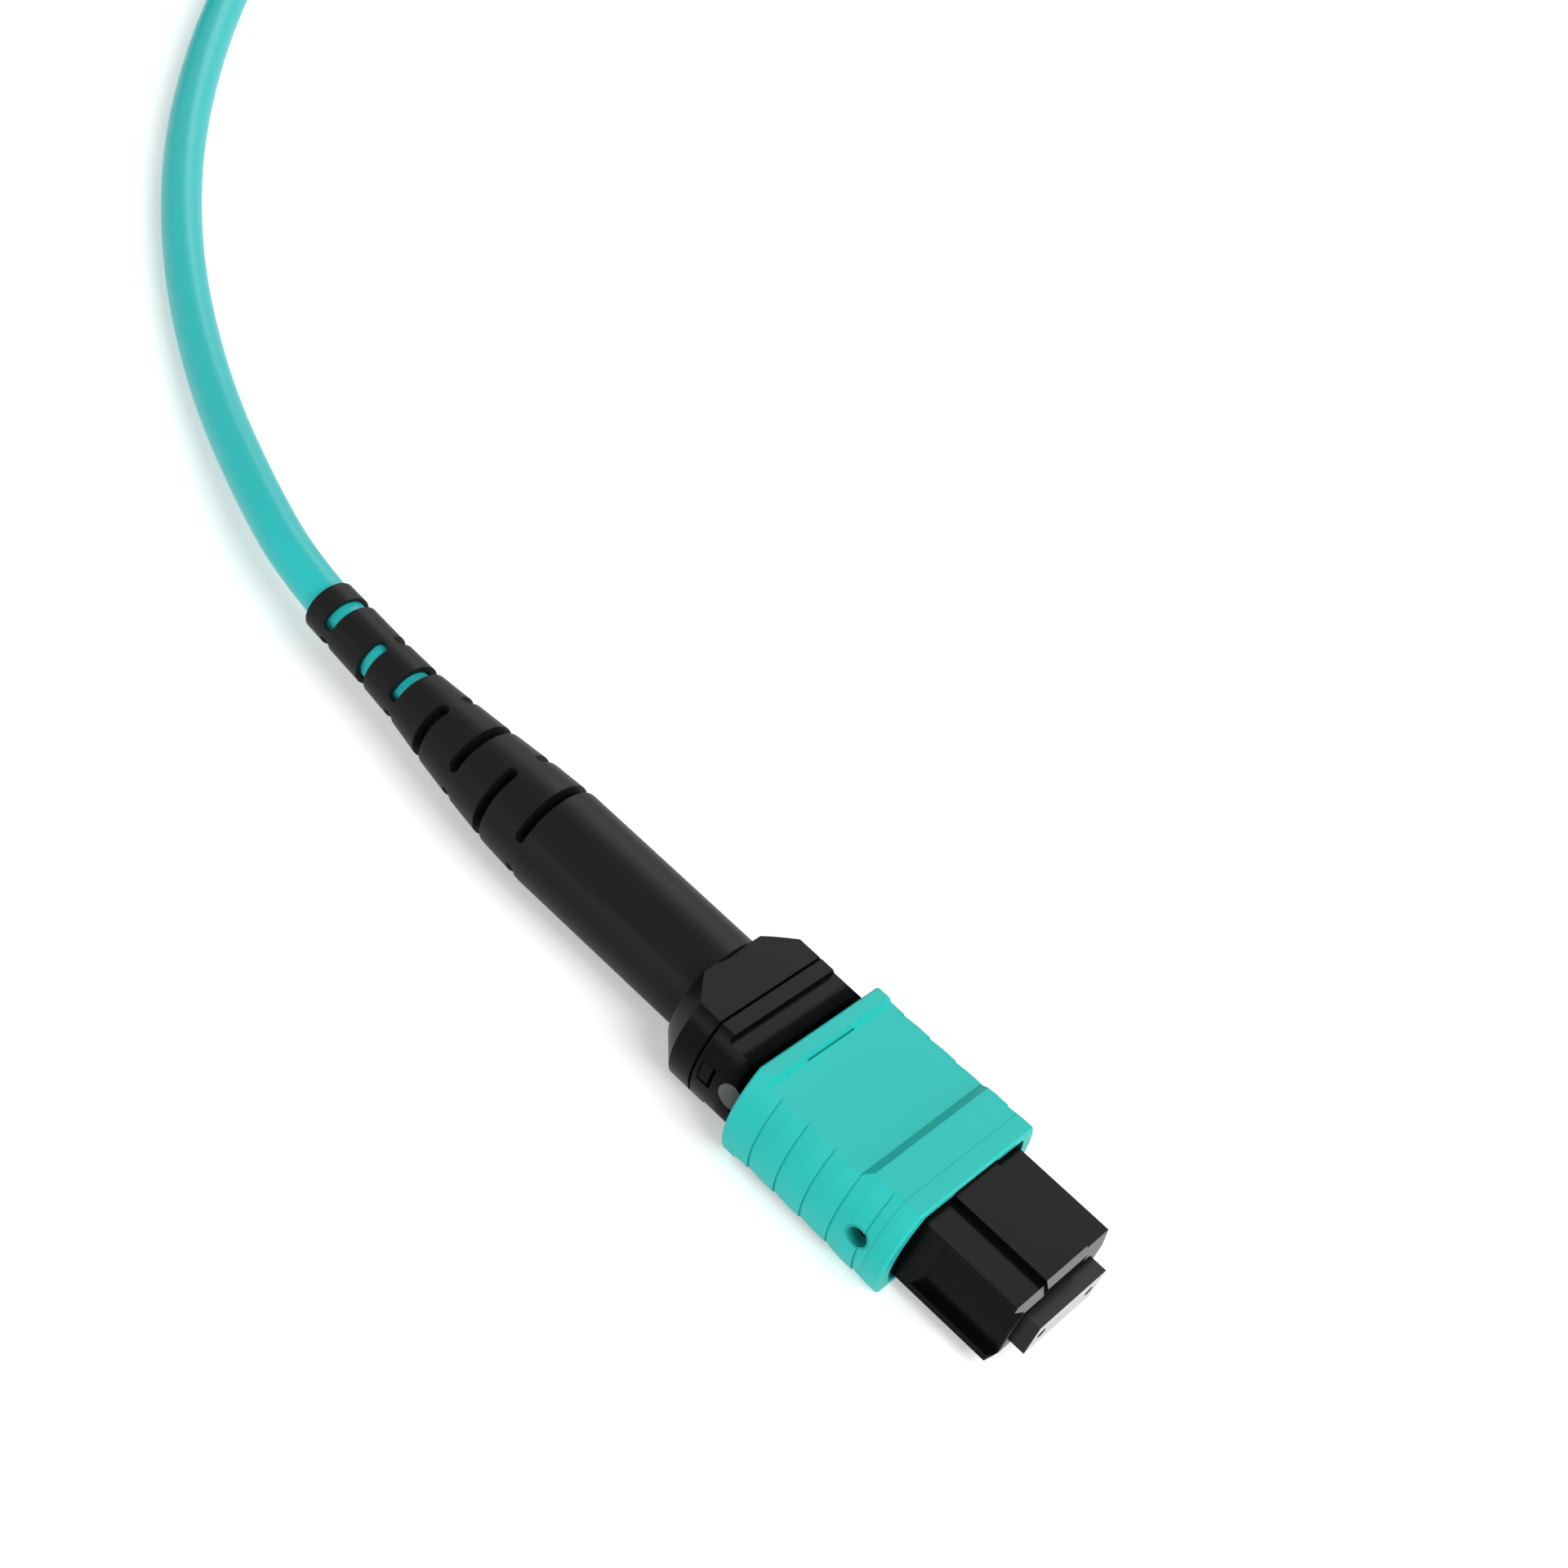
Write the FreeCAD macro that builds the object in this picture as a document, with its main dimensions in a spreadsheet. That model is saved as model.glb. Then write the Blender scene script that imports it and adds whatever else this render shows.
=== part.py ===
import FreeCAD, Part
import math
import os
import re

import Sketcher

# A twelve-fibre push-on connector on a round pigtail.
#
# Every piece is drawn in the connector's own frame: the origin is the middle of the ferrule's
# polished face, +X points out of the connector, +Z is the side with the key. A "station" is a
# distance behind that face. Placement then carries each piece to the part's frame, where the
# connector lies on the slider's flat underside and the origin is under its middle.

Vector = FreeCAD.Vector

SIZES = {
    # coupling slider, the sliding outer sleeve
    "slider_wall_side": 0.92,
    "slider_wall_flat": 0.92,
    "slider_front": 8.21,
    "slider_length": 12.29,
    "slider_travel": 2.2,
    "slider_edge_bevel": 0.12,
    "mouth_wall_side": 0.89,
    "mouth_wall_flat": 0.56,
    "mouth_depth": 3.0,
    "keyway_depth": 0.22,
    "keyway_gap": 0.21,
    "side_clearance": 0.10,
    "flat_clearance": 0.06,
    "pad_depth": 0.54,
    "pad_start": 3.49,
    "pad_slope": 0.6,
    "pad_end": 11.24,
    "pad_rear_slope": 0.05,
    "slit_width": 0.12,
    "slit_depth": 0.14,
    "slit_half_length": 2.1,
    "grip_start": 1.99,
    "grip_pitch": 2.04,
    "grip_ramp": 1.1,
    "grip_depth": 0.09,
    "side_hole_radius": 0.66,
    "side_hole_place": 2.29,
    "driver_length": 0.9,
    "driver_half_height": 0.5,
    # plug housing: the nose, its key and latch pockets, the barrel behind the slider
    "nose_wall_side": 0.85,
    "nose_wall_flat": 0.95,
    "nose_front": 1.08,
    "nose_chamfer_length": 0.6,
    "nose_chamfer_drop": 0.3,
    "key_half_width": 1.94,
    "key_height": 0.46,
    "key_end": 10.9,
    "latch_half_height": 2.08,
    "latch_depth": 0.56,
    "latch_crown": 0.12,
    "latch_end": 6.6,
    "latch_ramp": 0.6,
    "barrel_step_side": 1.0,
    "barrel_step_flat": 0.55,
    "barrel_front": 19.0,
    "barrel_rear": 24.07,
    "waist_depth": 0.46,
    "waist_slope": 0.3,
    "channel_radius": 0.76,
    "channel_offset": 0.3,
    "stop_gap": 0.05,
    "ferrule_gap": 0.1,
    "inner_gap": 0.1,
    "arm_room_front": 20.9,
    "arm_room_gap": 0.1,
    "arm_room_half_height": 1.65,
    "window_half_height": 0.8,
    "window_front": 22.72,
    "window_length": 1.03,
    # ferrule
    "ferrule_half_width": 3.2,
    "ferrule_half_height": 1.25,
    "ferrule_length": 8.0,
    "flange_step": 0.25,
    "flange_length": 2.85,
    "guide_radius": 0.35,
    "guide_pitch": 4.6,
    "fibre_radius": 0.0625,
    "fibre_hole_radius": 0.075,
    "fibre_pitch": 0.25,
    "fibre_reach": 3.0,
    "ribbon_half_width": 1.55,
    "ribbon_half_height": 0.15,
    "ribbon_gap": 0.06,
    "potting_front": 2.8,
    "potting_rear": 4.8,
    "grip_hole_front": 5.4,
    # rubber boot in the ferrule's back, pin keeper, springs
    "rubber_half_width": 1.75,
    "rubber_half_height": 0.8,
    "rubber_length": 4.0,
    "rubber_clearance": 0.05,
    "keeper_length": 2.4,
    "socket_room": 0.2,
    "horn_length": 0.9,
    "horn_half_height": 0.6,
    "horn_inner": 1.95,
    "horn_outer": 2.55,
    "spring_wire_radius": 0.2,
    "spring_half_width": 3.25,
    "spring_half_height": 1.4,
    "spring_turns": 4.5,
    "spring_rest_gap": 0.03,
    "side_spring_radius": 0.55,
    "side_spring_wire": 0.11,
    "side_spring_turns": 6.0,
    # spring push: tongue, latch arms, cap, crimp post
    "tongue_front": 17.5,
    "tongue_gap": 0.1,
    "passage_radius": 2.1,
    "passage_half_height": 0.95,
    "arm_offset": 0.2,
    "arm_thickness": 0.75,
    "arm_half_height": 0.9,
    "arm_front": 21.3,
    "tooth_half_height": 0.7,
    "tooth_front": 22.98,
    "tooth_length": 0.74,
    "tooth_height": 0.8,
    "cap_gap": 0.11,
    "cap_length": 3.14,
    "cap_straight": 1.62,
    "cap_rear_radius": 3.97,
    "post_radius": 2.15,
    "post_bore": 1.65,
    "post_end": 33.0,
    # crimp ring, yarn, fibres
    "yarn_gap": 0.03,
    "yarn_thickness": 0.22,
    "crimp_front": 28.0,
    "crimp_wall": 0.3,
    "crimp_neck_end": 37.5,
    "bundle_radius": 0.7,
    "bundle_half_height": 0.6,
    "ribbon_end": 16.8,
    "bundle_start": 21.5,
    # boot
    "boot_radius": 3.4,
    "boot_taper_start": 41.0,
    "boot_end": 63.5,
    "boot_bore_gap": 0.1,
    "slot_arc": 145.0,
    # cable
    "cable_radius": 1.5,
    "jacket_front": 34.5,
    "coil_radius": 16.5,
    "coil_lift": 0.5,
    "tie_width": 4.0,
}

GRIP_STEPS = 5
FIBRES = 12
# a spring's end turns are made of this many straight runs each, its wire of this many flats
END_STEPS = 4
WIRE_SIDES = 8
BOOT_FLATS = 32
COIL_COLUMNS = 4
COIL_LAYERS = 2

# sizes that follow from the ones above, from the ferrule outwards
FOLLOWING = {
    "flange_half_width": "ferrule_half_width + flange_step",
    "flange_half_height": "ferrule_half_height + flange_step",
    "inner_half_width": "flange_half_width + inner_gap",
    "inner_half_height": "flange_half_height + inner_gap",
    "nose_half_width": "inner_half_width + nose_wall_side",
    "nose_half_height": "inner_half_height + nose_wall_flat",
    "key_top": "nose_half_height + key_height",
    "channel_centre": "nose_half_width + channel_offset",
    "barrel_radius": "nose_half_width + barrel_step_side",
    "barrel_half_height": "nose_half_height + barrel_step_flat",
    "slider_radius": "barrel_radius + side_clearance + slider_wall_side",
    "slider_half_height": "barrel_half_height - waist_depth + flat_clearance + slider_wall_flat",
    "tongue_half_width": "inner_half_width - tongue_gap",
    "tongue_half_height": "inner_half_height - tongue_gap",
    "arm_inner": "inner_half_width + arm_offset",
    "arm_outer": "arm_inner + arm_thickness",
    "arm_room_half_width": "arm_outer + arm_room_gap",
    "tooth_outer": "arm_outer + tooth_height",
}

# stations derived from the sizes above, as expressions
SLIDER_REAR = "(slider_front + slider_length)"
AXIS_HEIGHT = "slider_half_height"
FACE_X = "boot_end / 2"
WAIST_HALF_HEIGHT = "(barrel_half_height - waist_depth)"
MOUTH_RADIUS = "(slider_radius - mouth_wall_side)"
MOUTH_HALF_HEIGHT = "(slider_half_height - mouth_wall_flat)"
MOUTH_END = "(slider_front + mouth_depth)"
CAP_FRONT = "(barrel_rear + cap_gap)"
CAP_REAR = "(barrel_rear + cap_gap + cap_length)"
KEEPER_REAR = "(ferrule_length + keeper_length)"

doc = FreeCAD.newDocument("fibre_connector")
sheet = doc.addObject("Spreadsheet::Sheet", "Sizes")
for row, (alias, number) in enumerate(SIZES.items(), start=1):
    sheet.set("A%d" % row, alias)
    sheet.set("B%d" % row, str(number))
    sheet.setAlias("B%d" % row, alias)
doc.recompute()


def bound(text):
    """An expression over the sheet's aliases, from the same text with bare names."""
    return re.sub(r"[a-z][a-z_]*", bound_name, str(text))


def bound_name(found):
    """One bare name: an alias of the sheet, a size that follows from others, or a function."""
    name = found.group(0)
    if name in FOLLOWING:
        return "(%s)" % bound(FOLLOWING[name])
    return "Sizes." + name if name in SIZES else name


def size(text):
    """The number that such an expression comes to."""
    return float(sheet.evalExpression(bound(text)))


def minus(text):
    return "-(%s)" % text


# ---------------------------------------------------------------- sketches and features


def place(piece, x="0", y="0", z="0"):
    """Carry a piece, drawn in the connector's frame, into the part's frame."""
    piece.setExpression("Placement.Base.x", bound("%s + %s" % (FACE_X, x)))
    piece.setExpression("Placement.Base.y", bound(y))
    piece.setExpression("Placement.Base.z", bound("%s + %s" % (AXIS_HEIGHT, z)))


def new_body(name):
    body = doc.addObject("PartDesign::Body", name)
    body.Label = name
    place(body)
    return body


def new_sketch(body, role, offset="0"):
    """A sketch on one of the body's own planes, moved along the plane's normal."""
    sketch = body.newObject("Sketcher::SketchObject", body.Name + "_sketch")
    plane = [item for item in body.Origin.OriginFeatures if item.Role == role][0]
    sketch.AttachmentSupport = [(plane, "")]
    sketch.MapMode = "FlatFace"
    sketch.setExpression("AttachmentOffset.Base.z", bound(offset))
    return sketch


def section(body, station):
    """A sketch across the connector, at a station: its x is the part's Y, its y is Z."""
    return new_sketch(body, "YZ_Plane", minus(station))


def tie_point(sketch, geometry, vertex, a, b):
    """Hold a sketch point at (a, b) from the sketch's origin, both of them expressions."""
    for kind, text in (("DistanceX", a), ("DistanceY", b)):
        rule = sketch.addConstraint(Sketcher.Constraint(kind, -1, 1, geometry, vertex, size(text)))
        sketch.setExpression("Constraints[%d]" % rule, bound(text))


def add_polygon(sketch, points):
    """A closed outline of straight edges through the points."""
    first = sketch.GeometryCount
    corners = [Vector(size(a), size(b), 0) for a, b in points]
    for here, there in zip(corners, corners[1:] + corners[:1]):
        sketch.addGeometry(Part.LineSegment(here, there), False)
    for number in range(len(points)):
        after = first + (number + 1) % len(points)
        sketch.addConstraint(Sketcher.Constraint("Coincident", first + number, 2, after, 1))
    for number, (a, b) in enumerate(points):
        tie_point(sketch, first + number, 1, a, b)
    return sketch


def add_rectangle(sketch, a0, b0, a1, b1):
    return add_polygon(sketch, [(a0, b0), (a1, b0), (a1, b1), (a0, b1)])


def add_centred_rectangle(sketch, half_a, half_b):
    return add_rectangle(sketch, minus(half_a), minus(half_b), half_a, half_b)


def add_circle(sketch, a, b, radius):
    centre = Vector(size(a), size(b), 0)
    ring = sketch.addGeometry(Part.Circle(centre, Vector(0, 0, 1), size(radius)), False)
    rule = sketch.addConstraint(Sketcher.Constraint("Radius", ring, size(radius)))
    sketch.setExpression("Constraints[%d]" % rule, bound(radius))
    tie_point(sketch, ring, 3, a, b)
    return sketch


def add_flat_round(sketch, radius, half_height):
    """A circle cut flat above and below: two side arcs and two straight edges."""
    reach = size(radius)
    rise = size(half_height)
    angle = math.asin(rise / reach)
    half = reach * math.cos(angle)
    full = Part.Circle(Vector(0, 0, 0), Vector(0, 0, 1), reach)
    right = sketch.addGeometry(Part.ArcOfCircle(full, -angle, angle), False)
    top = sketch.addGeometry(Part.LineSegment(Vector(half, rise, 0), Vector(-half, rise, 0)), False)
    left = sketch.addGeometry(Part.ArcOfCircle(full, math.pi - angle, math.pi + angle), False)
    base = sketch.addGeometry(Part.LineSegment(Vector(-half, -rise, 0), Vector(half, -rise, 0)), False)
    around = (right, top, left, base)
    for before, after in zip(around, around[1:] + around[:1]):
        sketch.addConstraint(Sketcher.Constraint("Coincident", before, 2, after, 1))
    for arc in (right, left):
        sketch.addConstraint(Sketcher.Constraint("Coincident", arc, 3, -1, 1))
    for edge in (top, base):
        sketch.addConstraint(Sketcher.Constraint("Horizontal", edge))
    sketch.addConstraint(Sketcher.Constraint("Equal", right, left))
    rule = sketch.addConstraint(Sketcher.Constraint("Radius", right, reach))
    sketch.setExpression("Constraints[%d]" % rule, bound(radius))
    rule = sketch.addConstraint(Sketcher.Constraint("DistanceY", -1, 1, top, 1, rise))
    sketch.setExpression("Constraints[%d]" % rule, bound(half_height))
    rule = sketch.addConstraint(Sketcher.Constraint("DistanceY", base, 1, -1, 1, rise))
    sketch.setExpression("Constraints[%d]" % rule, bound(half_height))
    return sketch


def feature(body, kind, sketch, **settings):
    """Add a feature to the body and check that it adds, or cuts, as its kind says."""
    doc.recompute()
    before = body.Shape.Volume if body.Tip and body.Tip.isDerivedFrom("PartDesign::Feature") else 0
    made = body.newObject("PartDesign::" + kind, body.Name + "_" + kind)
    made.Profile = sketch
    for name, setting in settings.items():
        if name == "Length":
            made.setExpression(name, bound(setting))
        else:
            setattr(made, name, setting)
    sketch.Visibility = False
    doc.recompute()
    change = made.Shape.Volume - before
    if kind in ("Pocket", "Groove", "SubtractiveLoft"):
        change = -change
    if not change > 1e-6:
        raise RuntimeError("%s of %s changes nothing (%g)" % (kind, body.Name, change))
    return made


def pad(body, sketch, length, **settings):
    """Grow forwards, toward +X, from a section."""
    return feature(body, "Pad", sketch, Length=length, **settings)


def pocket(body, sketch, length, **settings):
    """Cut backwards, away from +X, from a section."""
    return feature(body, "Pocket", sketch, Length=length, **settings)


def pocket_across(body, sketch):
    """Cut the outline right through, both ways from the sketch's plane."""
    return feature(body, "Pocket", sketch, Type=1, Midplane=True)


def turned(body, kind, sketch):
    """Revolve or groove an outline, drawn as station and radius, about the connector's axis."""
    return feature(body, kind, sketch, ReferenceAxis=(sketch, ["H_Axis"]), Angle=360)


def edges_at(shape, x):
    """The names of the edges that lie in the plane at x."""
    names = []
    for number, edge in enumerate(shape.Edges, start=1):
        if all(abs(vertex.Point.x - x) < 1e-4 for vertex in edge.Vertexes):
            names.append("Edge%d" % number)
    return names


# ---------------------------------------------------------------- plug housing


def plug_housing():
    """The inner moulding: keyed nose, latch pockets, spring channels and the barrel."""
    body = new_body("plug_housing")
    side = "nose_half_width"
    top = "nose_half_height"
    key = "key_half_width"
    nose_length = "barrel_front - nose_front"

    pad(body, add_centred_rectangle(section(body, "barrel_front"), side, top), nose_length)
    blank = body.Tip
    bevel = body.newObject("PartDesign::Chamfer", "nose_bevel")
    bevel.Base = (blank, edges_at(blank.Shape, -size("nose_front")))
    bevel.ChamferType = 1
    bevel.setExpression("Size", bound("nose_chamfer_drop"))
    bevel.setExpression("Size2", bound("nose_chamfer_length"))
    doc.recompute()

    # the key, with its front edges bevelled
    outline = section(body, "key_end")
    add_rectangle(outline, minus(key), "0.8 * (%s)" % top, key, "key_top")
    pad(body, outline, "key_end - nose_front - nose_chamfer_drop")
    tip = section(body, "nose_front + nose_chamfer_drop")
    low = "nose_half_height - nose_chamfer_drop * 2"
    add_rectangle(tip, minus(key + " - nose_chamfer_length"), low, key + " - nose_chamfer_length", "key_top")
    pad(body, tip, "nose_chamfer_drop")

    # the barrel that the slider runs on, then the full section that stops it
    barrel = add_flat_round(section(body, "barrel_rear"), "barrel_radius", WAIST_HALF_HEIGHT)
    pad(body, barrel, "barrel_rear - barrel_front")
    stop = "(%s + slider_travel + stop_gap + waist_slope)" % SLIDER_REAR
    collar = add_flat_round(section(body, "barrel_rear"), "barrel_radius", "barrel_half_height")
    pad(body, collar, "barrel_rear - %s" % stop)
    ramp = new_sketch(body, "XZ_Plane")
    reach = "barrel_half_height"
    for sign in ("", "-"):
        add_polygon(
            ramp,
            [
                (minus(stop), sign + "(%s)" % WAIST_HALF_HEIGHT),
                (minus(stop), sign + "(%s)" % reach),
                (minus(stop + " - waist_slope"), sign + "(%s)" % WAIST_HALF_HEIGHT),
            ],
        )
    half_chord = "sqrt(barrel_radius ^ 2 - barrel_half_height ^ 2)"
    pad(body, ramp, "2 * %s" % half_chord, Midplane=True)

    # a latch pocket on each side: a floor with a low crown, open in front, ramping out behind
    floor = "(%s - latch_depth)" % side
    cut = section(body, "nose_front")
    for sign in ("", "-"):
        add_polygon(
            cut,
            [
                (sign + "(%s + 1)" % side, minus("latch_half_height")),
                (sign + floor, minus("latch_half_height")),
                (sign + "(%s + latch_crown)" % floor, "0"),
                (sign + floor, "latch_half_height"),
                (sign + "(%s + 1)" % side, "latch_half_height"),
            ],
        )
    pocket(body, cut, "latch_end - nose_front")
    slope = new_sketch(body, "XY_Plane")
    for sign in ("", "-"):
        add_polygon(
            slope,
            [
                (minus("latch_end"), sign + "(%s + latch_crown)" % floor),
                (minus("latch_end + latch_ramp"), sign + "(%s)" % side),
                (minus("latch_end + latch_ramp"), sign + "(%s + 1)" % side),
                (minus("latch_end"), sign + "(%s + 1)" % side),
            ],
        )
    feature(body, "Pocket", slope, Length="2 * latch_half_height", Midplane=True)

    # a half-round channel on each side for the slider's springs
    channels = section(body, "%s - stop_gap" % MOUTH_END)
    add_circle(channels, "channel_centre", "0", "channel_radius")
    add_circle(channels, minus("channel_centre"), "0", "channel_radius")
    pocket(body, channels, "barrel_front - %s + stop_gap" % MOUTH_END)

    # inside: the ferrule's opening, the spring's room and the room for the latch arms
    flange_front = "(ferrule_length - flange_length - stop_gap)"
    hole = section(body, "nose_front")
    add_centred_rectangle(hole, "ferrule_half_width + ferrule_gap", "ferrule_half_height + ferrule_gap")
    pocket(body, hole, flange_front + " - nose_front")
    room = add_centred_rectangle(section(body, flange_front), "inner_half_width", "inner_half_height")
    pocket(body, room, "barrel_rear - %s" % flange_front)
    arms = section(body, "arm_room_front")
    add_centred_rectangle(arms, "arm_room_half_width", "arm_room_half_height")
    pocket(body, arms, "barrel_rear - arm_room_front")
    windows = new_sketch(body, "XZ_Plane")
    back = "window_front + window_length"
    tall = "window_half_height"
    add_rectangle(windows, minus("window_front"), minus(tall), minus(back), tall)
    pocket_across(body, windows)
    return body


# ---------------------------------------------------------------- coupling slider


def coupling_slider():
    """The sleeve that is pulled back to unlatch the plug."""
    body = new_body("coupling_slider")
    blank = add_flat_round(section(body, SLIDER_REAR), "slider_radius", "slider_half_height")
    pad(body, blank, "slider_length")
    base = body.Tip
    edge = body.newObject("PartDesign::Chamfer", "slider_edge")
    ends = edges_at(base.Shape, -size("slider_front")) + edges_at(base.Shape, -size(SLIDER_REAR))
    edge.Base = (base, ends)
    edge.setExpression("Size", bound("slider_edge_bevel"))
    doc.recompute()

    # the sunk grip pads on both wide faces
    pads = new_sketch(body, "XZ_Plane")
    outside = "(slider_half_height + 1)"
    floor = "(slider_half_height - pad_depth)"
    for sign in ("", "-"):
        add_polygon(
            pads,
            [
                (minus("slider_front + pad_start"), sign + "slider_half_height"),
                (minus("slider_front + pad_start + pad_slope"), sign + floor),
                (minus("slider_front + pad_end"), sign + floor),
                (minus("slider_front + pad_end + pad_rear_slope"), sign + "slider_half_height"),
                (minus("slider_front + pad_end + pad_rear_slope"), sign + outside),
                (minus("slider_front + pad_start"), sign + outside),
            ],
        )
    pocket_across(body, pads)

    # the mouth, its keyway and the bore that runs on the barrel
    front = "slider_front"
    pocket(body, add_flat_round(section(body, front), MOUTH_RADIUS, MOUTH_HALF_HEIGHT), "mouth_depth")
    keyway = section(body, front)
    wide = "(key_half_width + keyway_gap)"
    ceiling = "(%s + keyway_depth)" % MOUTH_HALF_HEIGHT
    narrow = "(%s - keyway_depth)" % wide
    low = "(%s - keyway_depth)" % MOUTH_HALF_HEIGHT
    add_polygon(
        keyway,
        [
            (minus(wide), low),
            (wide, low),
            (wide, MOUTH_HALF_HEIGHT),
            (narrow, ceiling),
            (minus(narrow), ceiling),
            (minus(wide), MOUTH_HALF_HEIGHT),
        ],
    )
    pocket(body, keyway, "mouth_depth")
    bore = section(body, front)
    add_flat_round(bore, "barrel_radius + side_clearance", "%s + flat_clearance" % WAIST_HALF_HEIGHT)
    pocket(body, bore, "slider_length")

    # two drivers inside, which run in the nose's channels and press on the side springs
    drivers = section(body, "%s + driver_length" % MOUTH_END)
    inner = "channel_centre - channel_radius * 0.6"
    outer = "barrel_radius + side_clearance + 0.3"
    height = "driver_half_height"
    add_rectangle(drivers, inner, minus(height), outer, height)
    add_rectangle(drivers, minus(outer), minus(height), minus(inner), height)
    pad(body, drivers, "driver_length")

    # the grip: a row of low saw teeth round both narrow sides
    teeth = new_sketch(body, "XZ_Plane")
    for number in range(GRIP_STEPS):
        step = "(slider_front + grip_start + %d * grip_pitch)" % number
        add_polygon(
            teeth,
            [
                (minus(step), "slider_radius - grip_depth"),
                (minus(step), "slider_radius + 1"),
                (minus(step) + " + grip_ramp", "slider_radius + 1"),
                (minus(step) + " + grip_ramp", "slider_radius"),
            ],
        )
    turned(body, "Groove", teeth)

    holes = new_sketch(body, "XZ_Plane")
    add_circle(holes, minus("slider_front + side_hole_place"), "0", "side_hole_radius")
    pocket_across(body, holes)

    # a fine slit at the foot of each pad's rear wall
    slits = section(body, "slider_front + pad_end - slit_width")
    end = "slit_half_length"
    add_rectangle(slits, minus(end), floor + " - slit_depth", end, "slider_half_height")
    add_rectangle(slits, minus(end), minus("slider_half_height"), end, minus(floor + " - slit_depth"))
    pocket(body, slits, "slit_width")
    return body


# ---------------------------------------------------------------- ferrule group


def ferrule():
    """The moulded block that holds the fibre ends between two guide holes."""
    body = new_body("ferrule")
    half = "ferrule_half_width"
    block = section(body, "ferrule_length")
    pad(body, add_centred_rectangle(block, half, "ferrule_half_height"), "ferrule_length")
    flange = section(body, "ferrule_length")
    pad(body, add_centred_rectangle(flange, "flange_half_width", "flange_half_height"), "flange_length")
    guides = section(body, "0")
    add_circle(guides, "guide_pitch / 2", "0", "guide_radius")
    add_circle(guides, "-guide_pitch / 2", "0", "guide_radius")
    pocket(body, guides, "ferrule_length")
    tail = section(body, "grip_hole_front")
    wide = "rubber_half_width + rubber_clearance"
    add_centred_rectangle(tail, wide, "rubber_half_height + rubber_clearance")
    pocket(body, tail, "ferrule_length - grip_hole_front")
    passage = section(body, "potting_front")
    add_centred_rectangle(passage, "ribbon_half_width + ribbon_gap", "ribbon_half_height + ribbon_gap")
    pocket(body, passage, "grip_hole_front - potting_front")
    potting = section(body, "potting_front")
    room = "ribbon_half_width + ribbon_gap"
    add_rectangle(potting, minus(room), "0", room, "ferrule_half_height + 1")
    pocket(body, potting, "potting_rear - potting_front")
    holes = section(body, "0")
    for number in range(FIBRES):
        across = "fibre_pitch * (%g)" % (number - (FIBRES - 1) / 2)
        rim = []
        for corner in range(WIRE_SIDES):
            turn = 2 * math.pi * corner / WIRE_SIDES
            out = "fibre_hole_radius * (%.5f)"
            rim.append((across + " + " + out % math.cos(turn), out % math.sin(turn)))
        add_polygon(holes, rim)
    pocket(body, holes, "potting_front")
    return body


def ferrule_fibres():
    """The bare glass ends, a row of fine rods, as separate solids in one node."""
    piece = doc.addObject("Part::Feature", "ferrule_fibres")
    piece.Label = "ferrule_fibres"
    rods = []
    for number in range(FIBRES):
        across = size("fibre_pitch") * (number - (FIBRES - 1) / 2)
        start = Vector(-size("fibre_reach"), across, 0)
        along = Vector(1, 0, 0)
        rim = []
        for corner in range(WIRE_SIDES):
            turn = 2 * math.pi * corner / WIRE_SIDES
            rim.append(start + Vector(0, math.cos(turn), math.sin(turn)) * size("fibre_radius"))
        end = Part.Face(Part.makePolygon(rim + rim[:1]))
        rods.append(end.extrude(along * size("fibre_reach")))
    piece.Shape = Part.makeCompound(rods)
    place(piece)
    return piece


def ferrule_boot():
    """The small rubber sleeve that guides the ribbon into the ferrule's back."""
    body = new_body("ferrule_boot")
    rear = "(grip_hole_front + rubber_length)"
    block = section(body, rear)
    pad(body, add_centred_rectangle(block, "rubber_half_width", "rubber_half_height"), "rubber_length")
    slot = section(body, "grip_hole_front")
    add_centred_rectangle(slot, "ribbon_half_width + ribbon_gap", "ribbon_half_height + ribbon_gap")
    pocket(body, slot, "rubber_length")
    return body


def pin_keeper():
    """The plate behind the ferrule that takes the spring's load; it holds no pins here."""
    body = new_body("pin_keeper")
    plate = section(body, KEEPER_REAR)
    pad(body, add_centred_rectangle(plate, "flange_half_width", "flange_half_height"), "keeper_length")
    window = section(body, "ferrule_length")
    wide = "rubber_half_width + rubber_clearance * 2"
    add_centred_rectangle(window, wide, "rubber_half_height + rubber_clearance * 2")
    pocket(body, window, "keeper_length")
    sockets = section(body, "ferrule_length")
    near = "(guide_pitch / 2 - guide_radius - socket_room)"
    far = "(guide_pitch / 2 + guide_radius + socket_room)"
    tall = "(guide_radius + socket_room)"
    add_rectangle(sockets, near, minus(tall), far, tall)
    add_rectangle(sockets, minus(far), minus(tall), minus(near), tall)
    pocket(body, sockets, "keeper_length * 0.6")
    horns = section(body, KEEPER_REAR + " + horn_length")
    height = "horn_half_height"
    add_rectangle(horns, "horn_inner", minus(height), "horn_outer", height)
    add_rectangle(horns, minus("horn_outer"), minus(height), minus("horn_inner"), height)
    pad(body, horns, "horn_length")
    return body


# ---------------------------------------------------------------- springs


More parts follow.
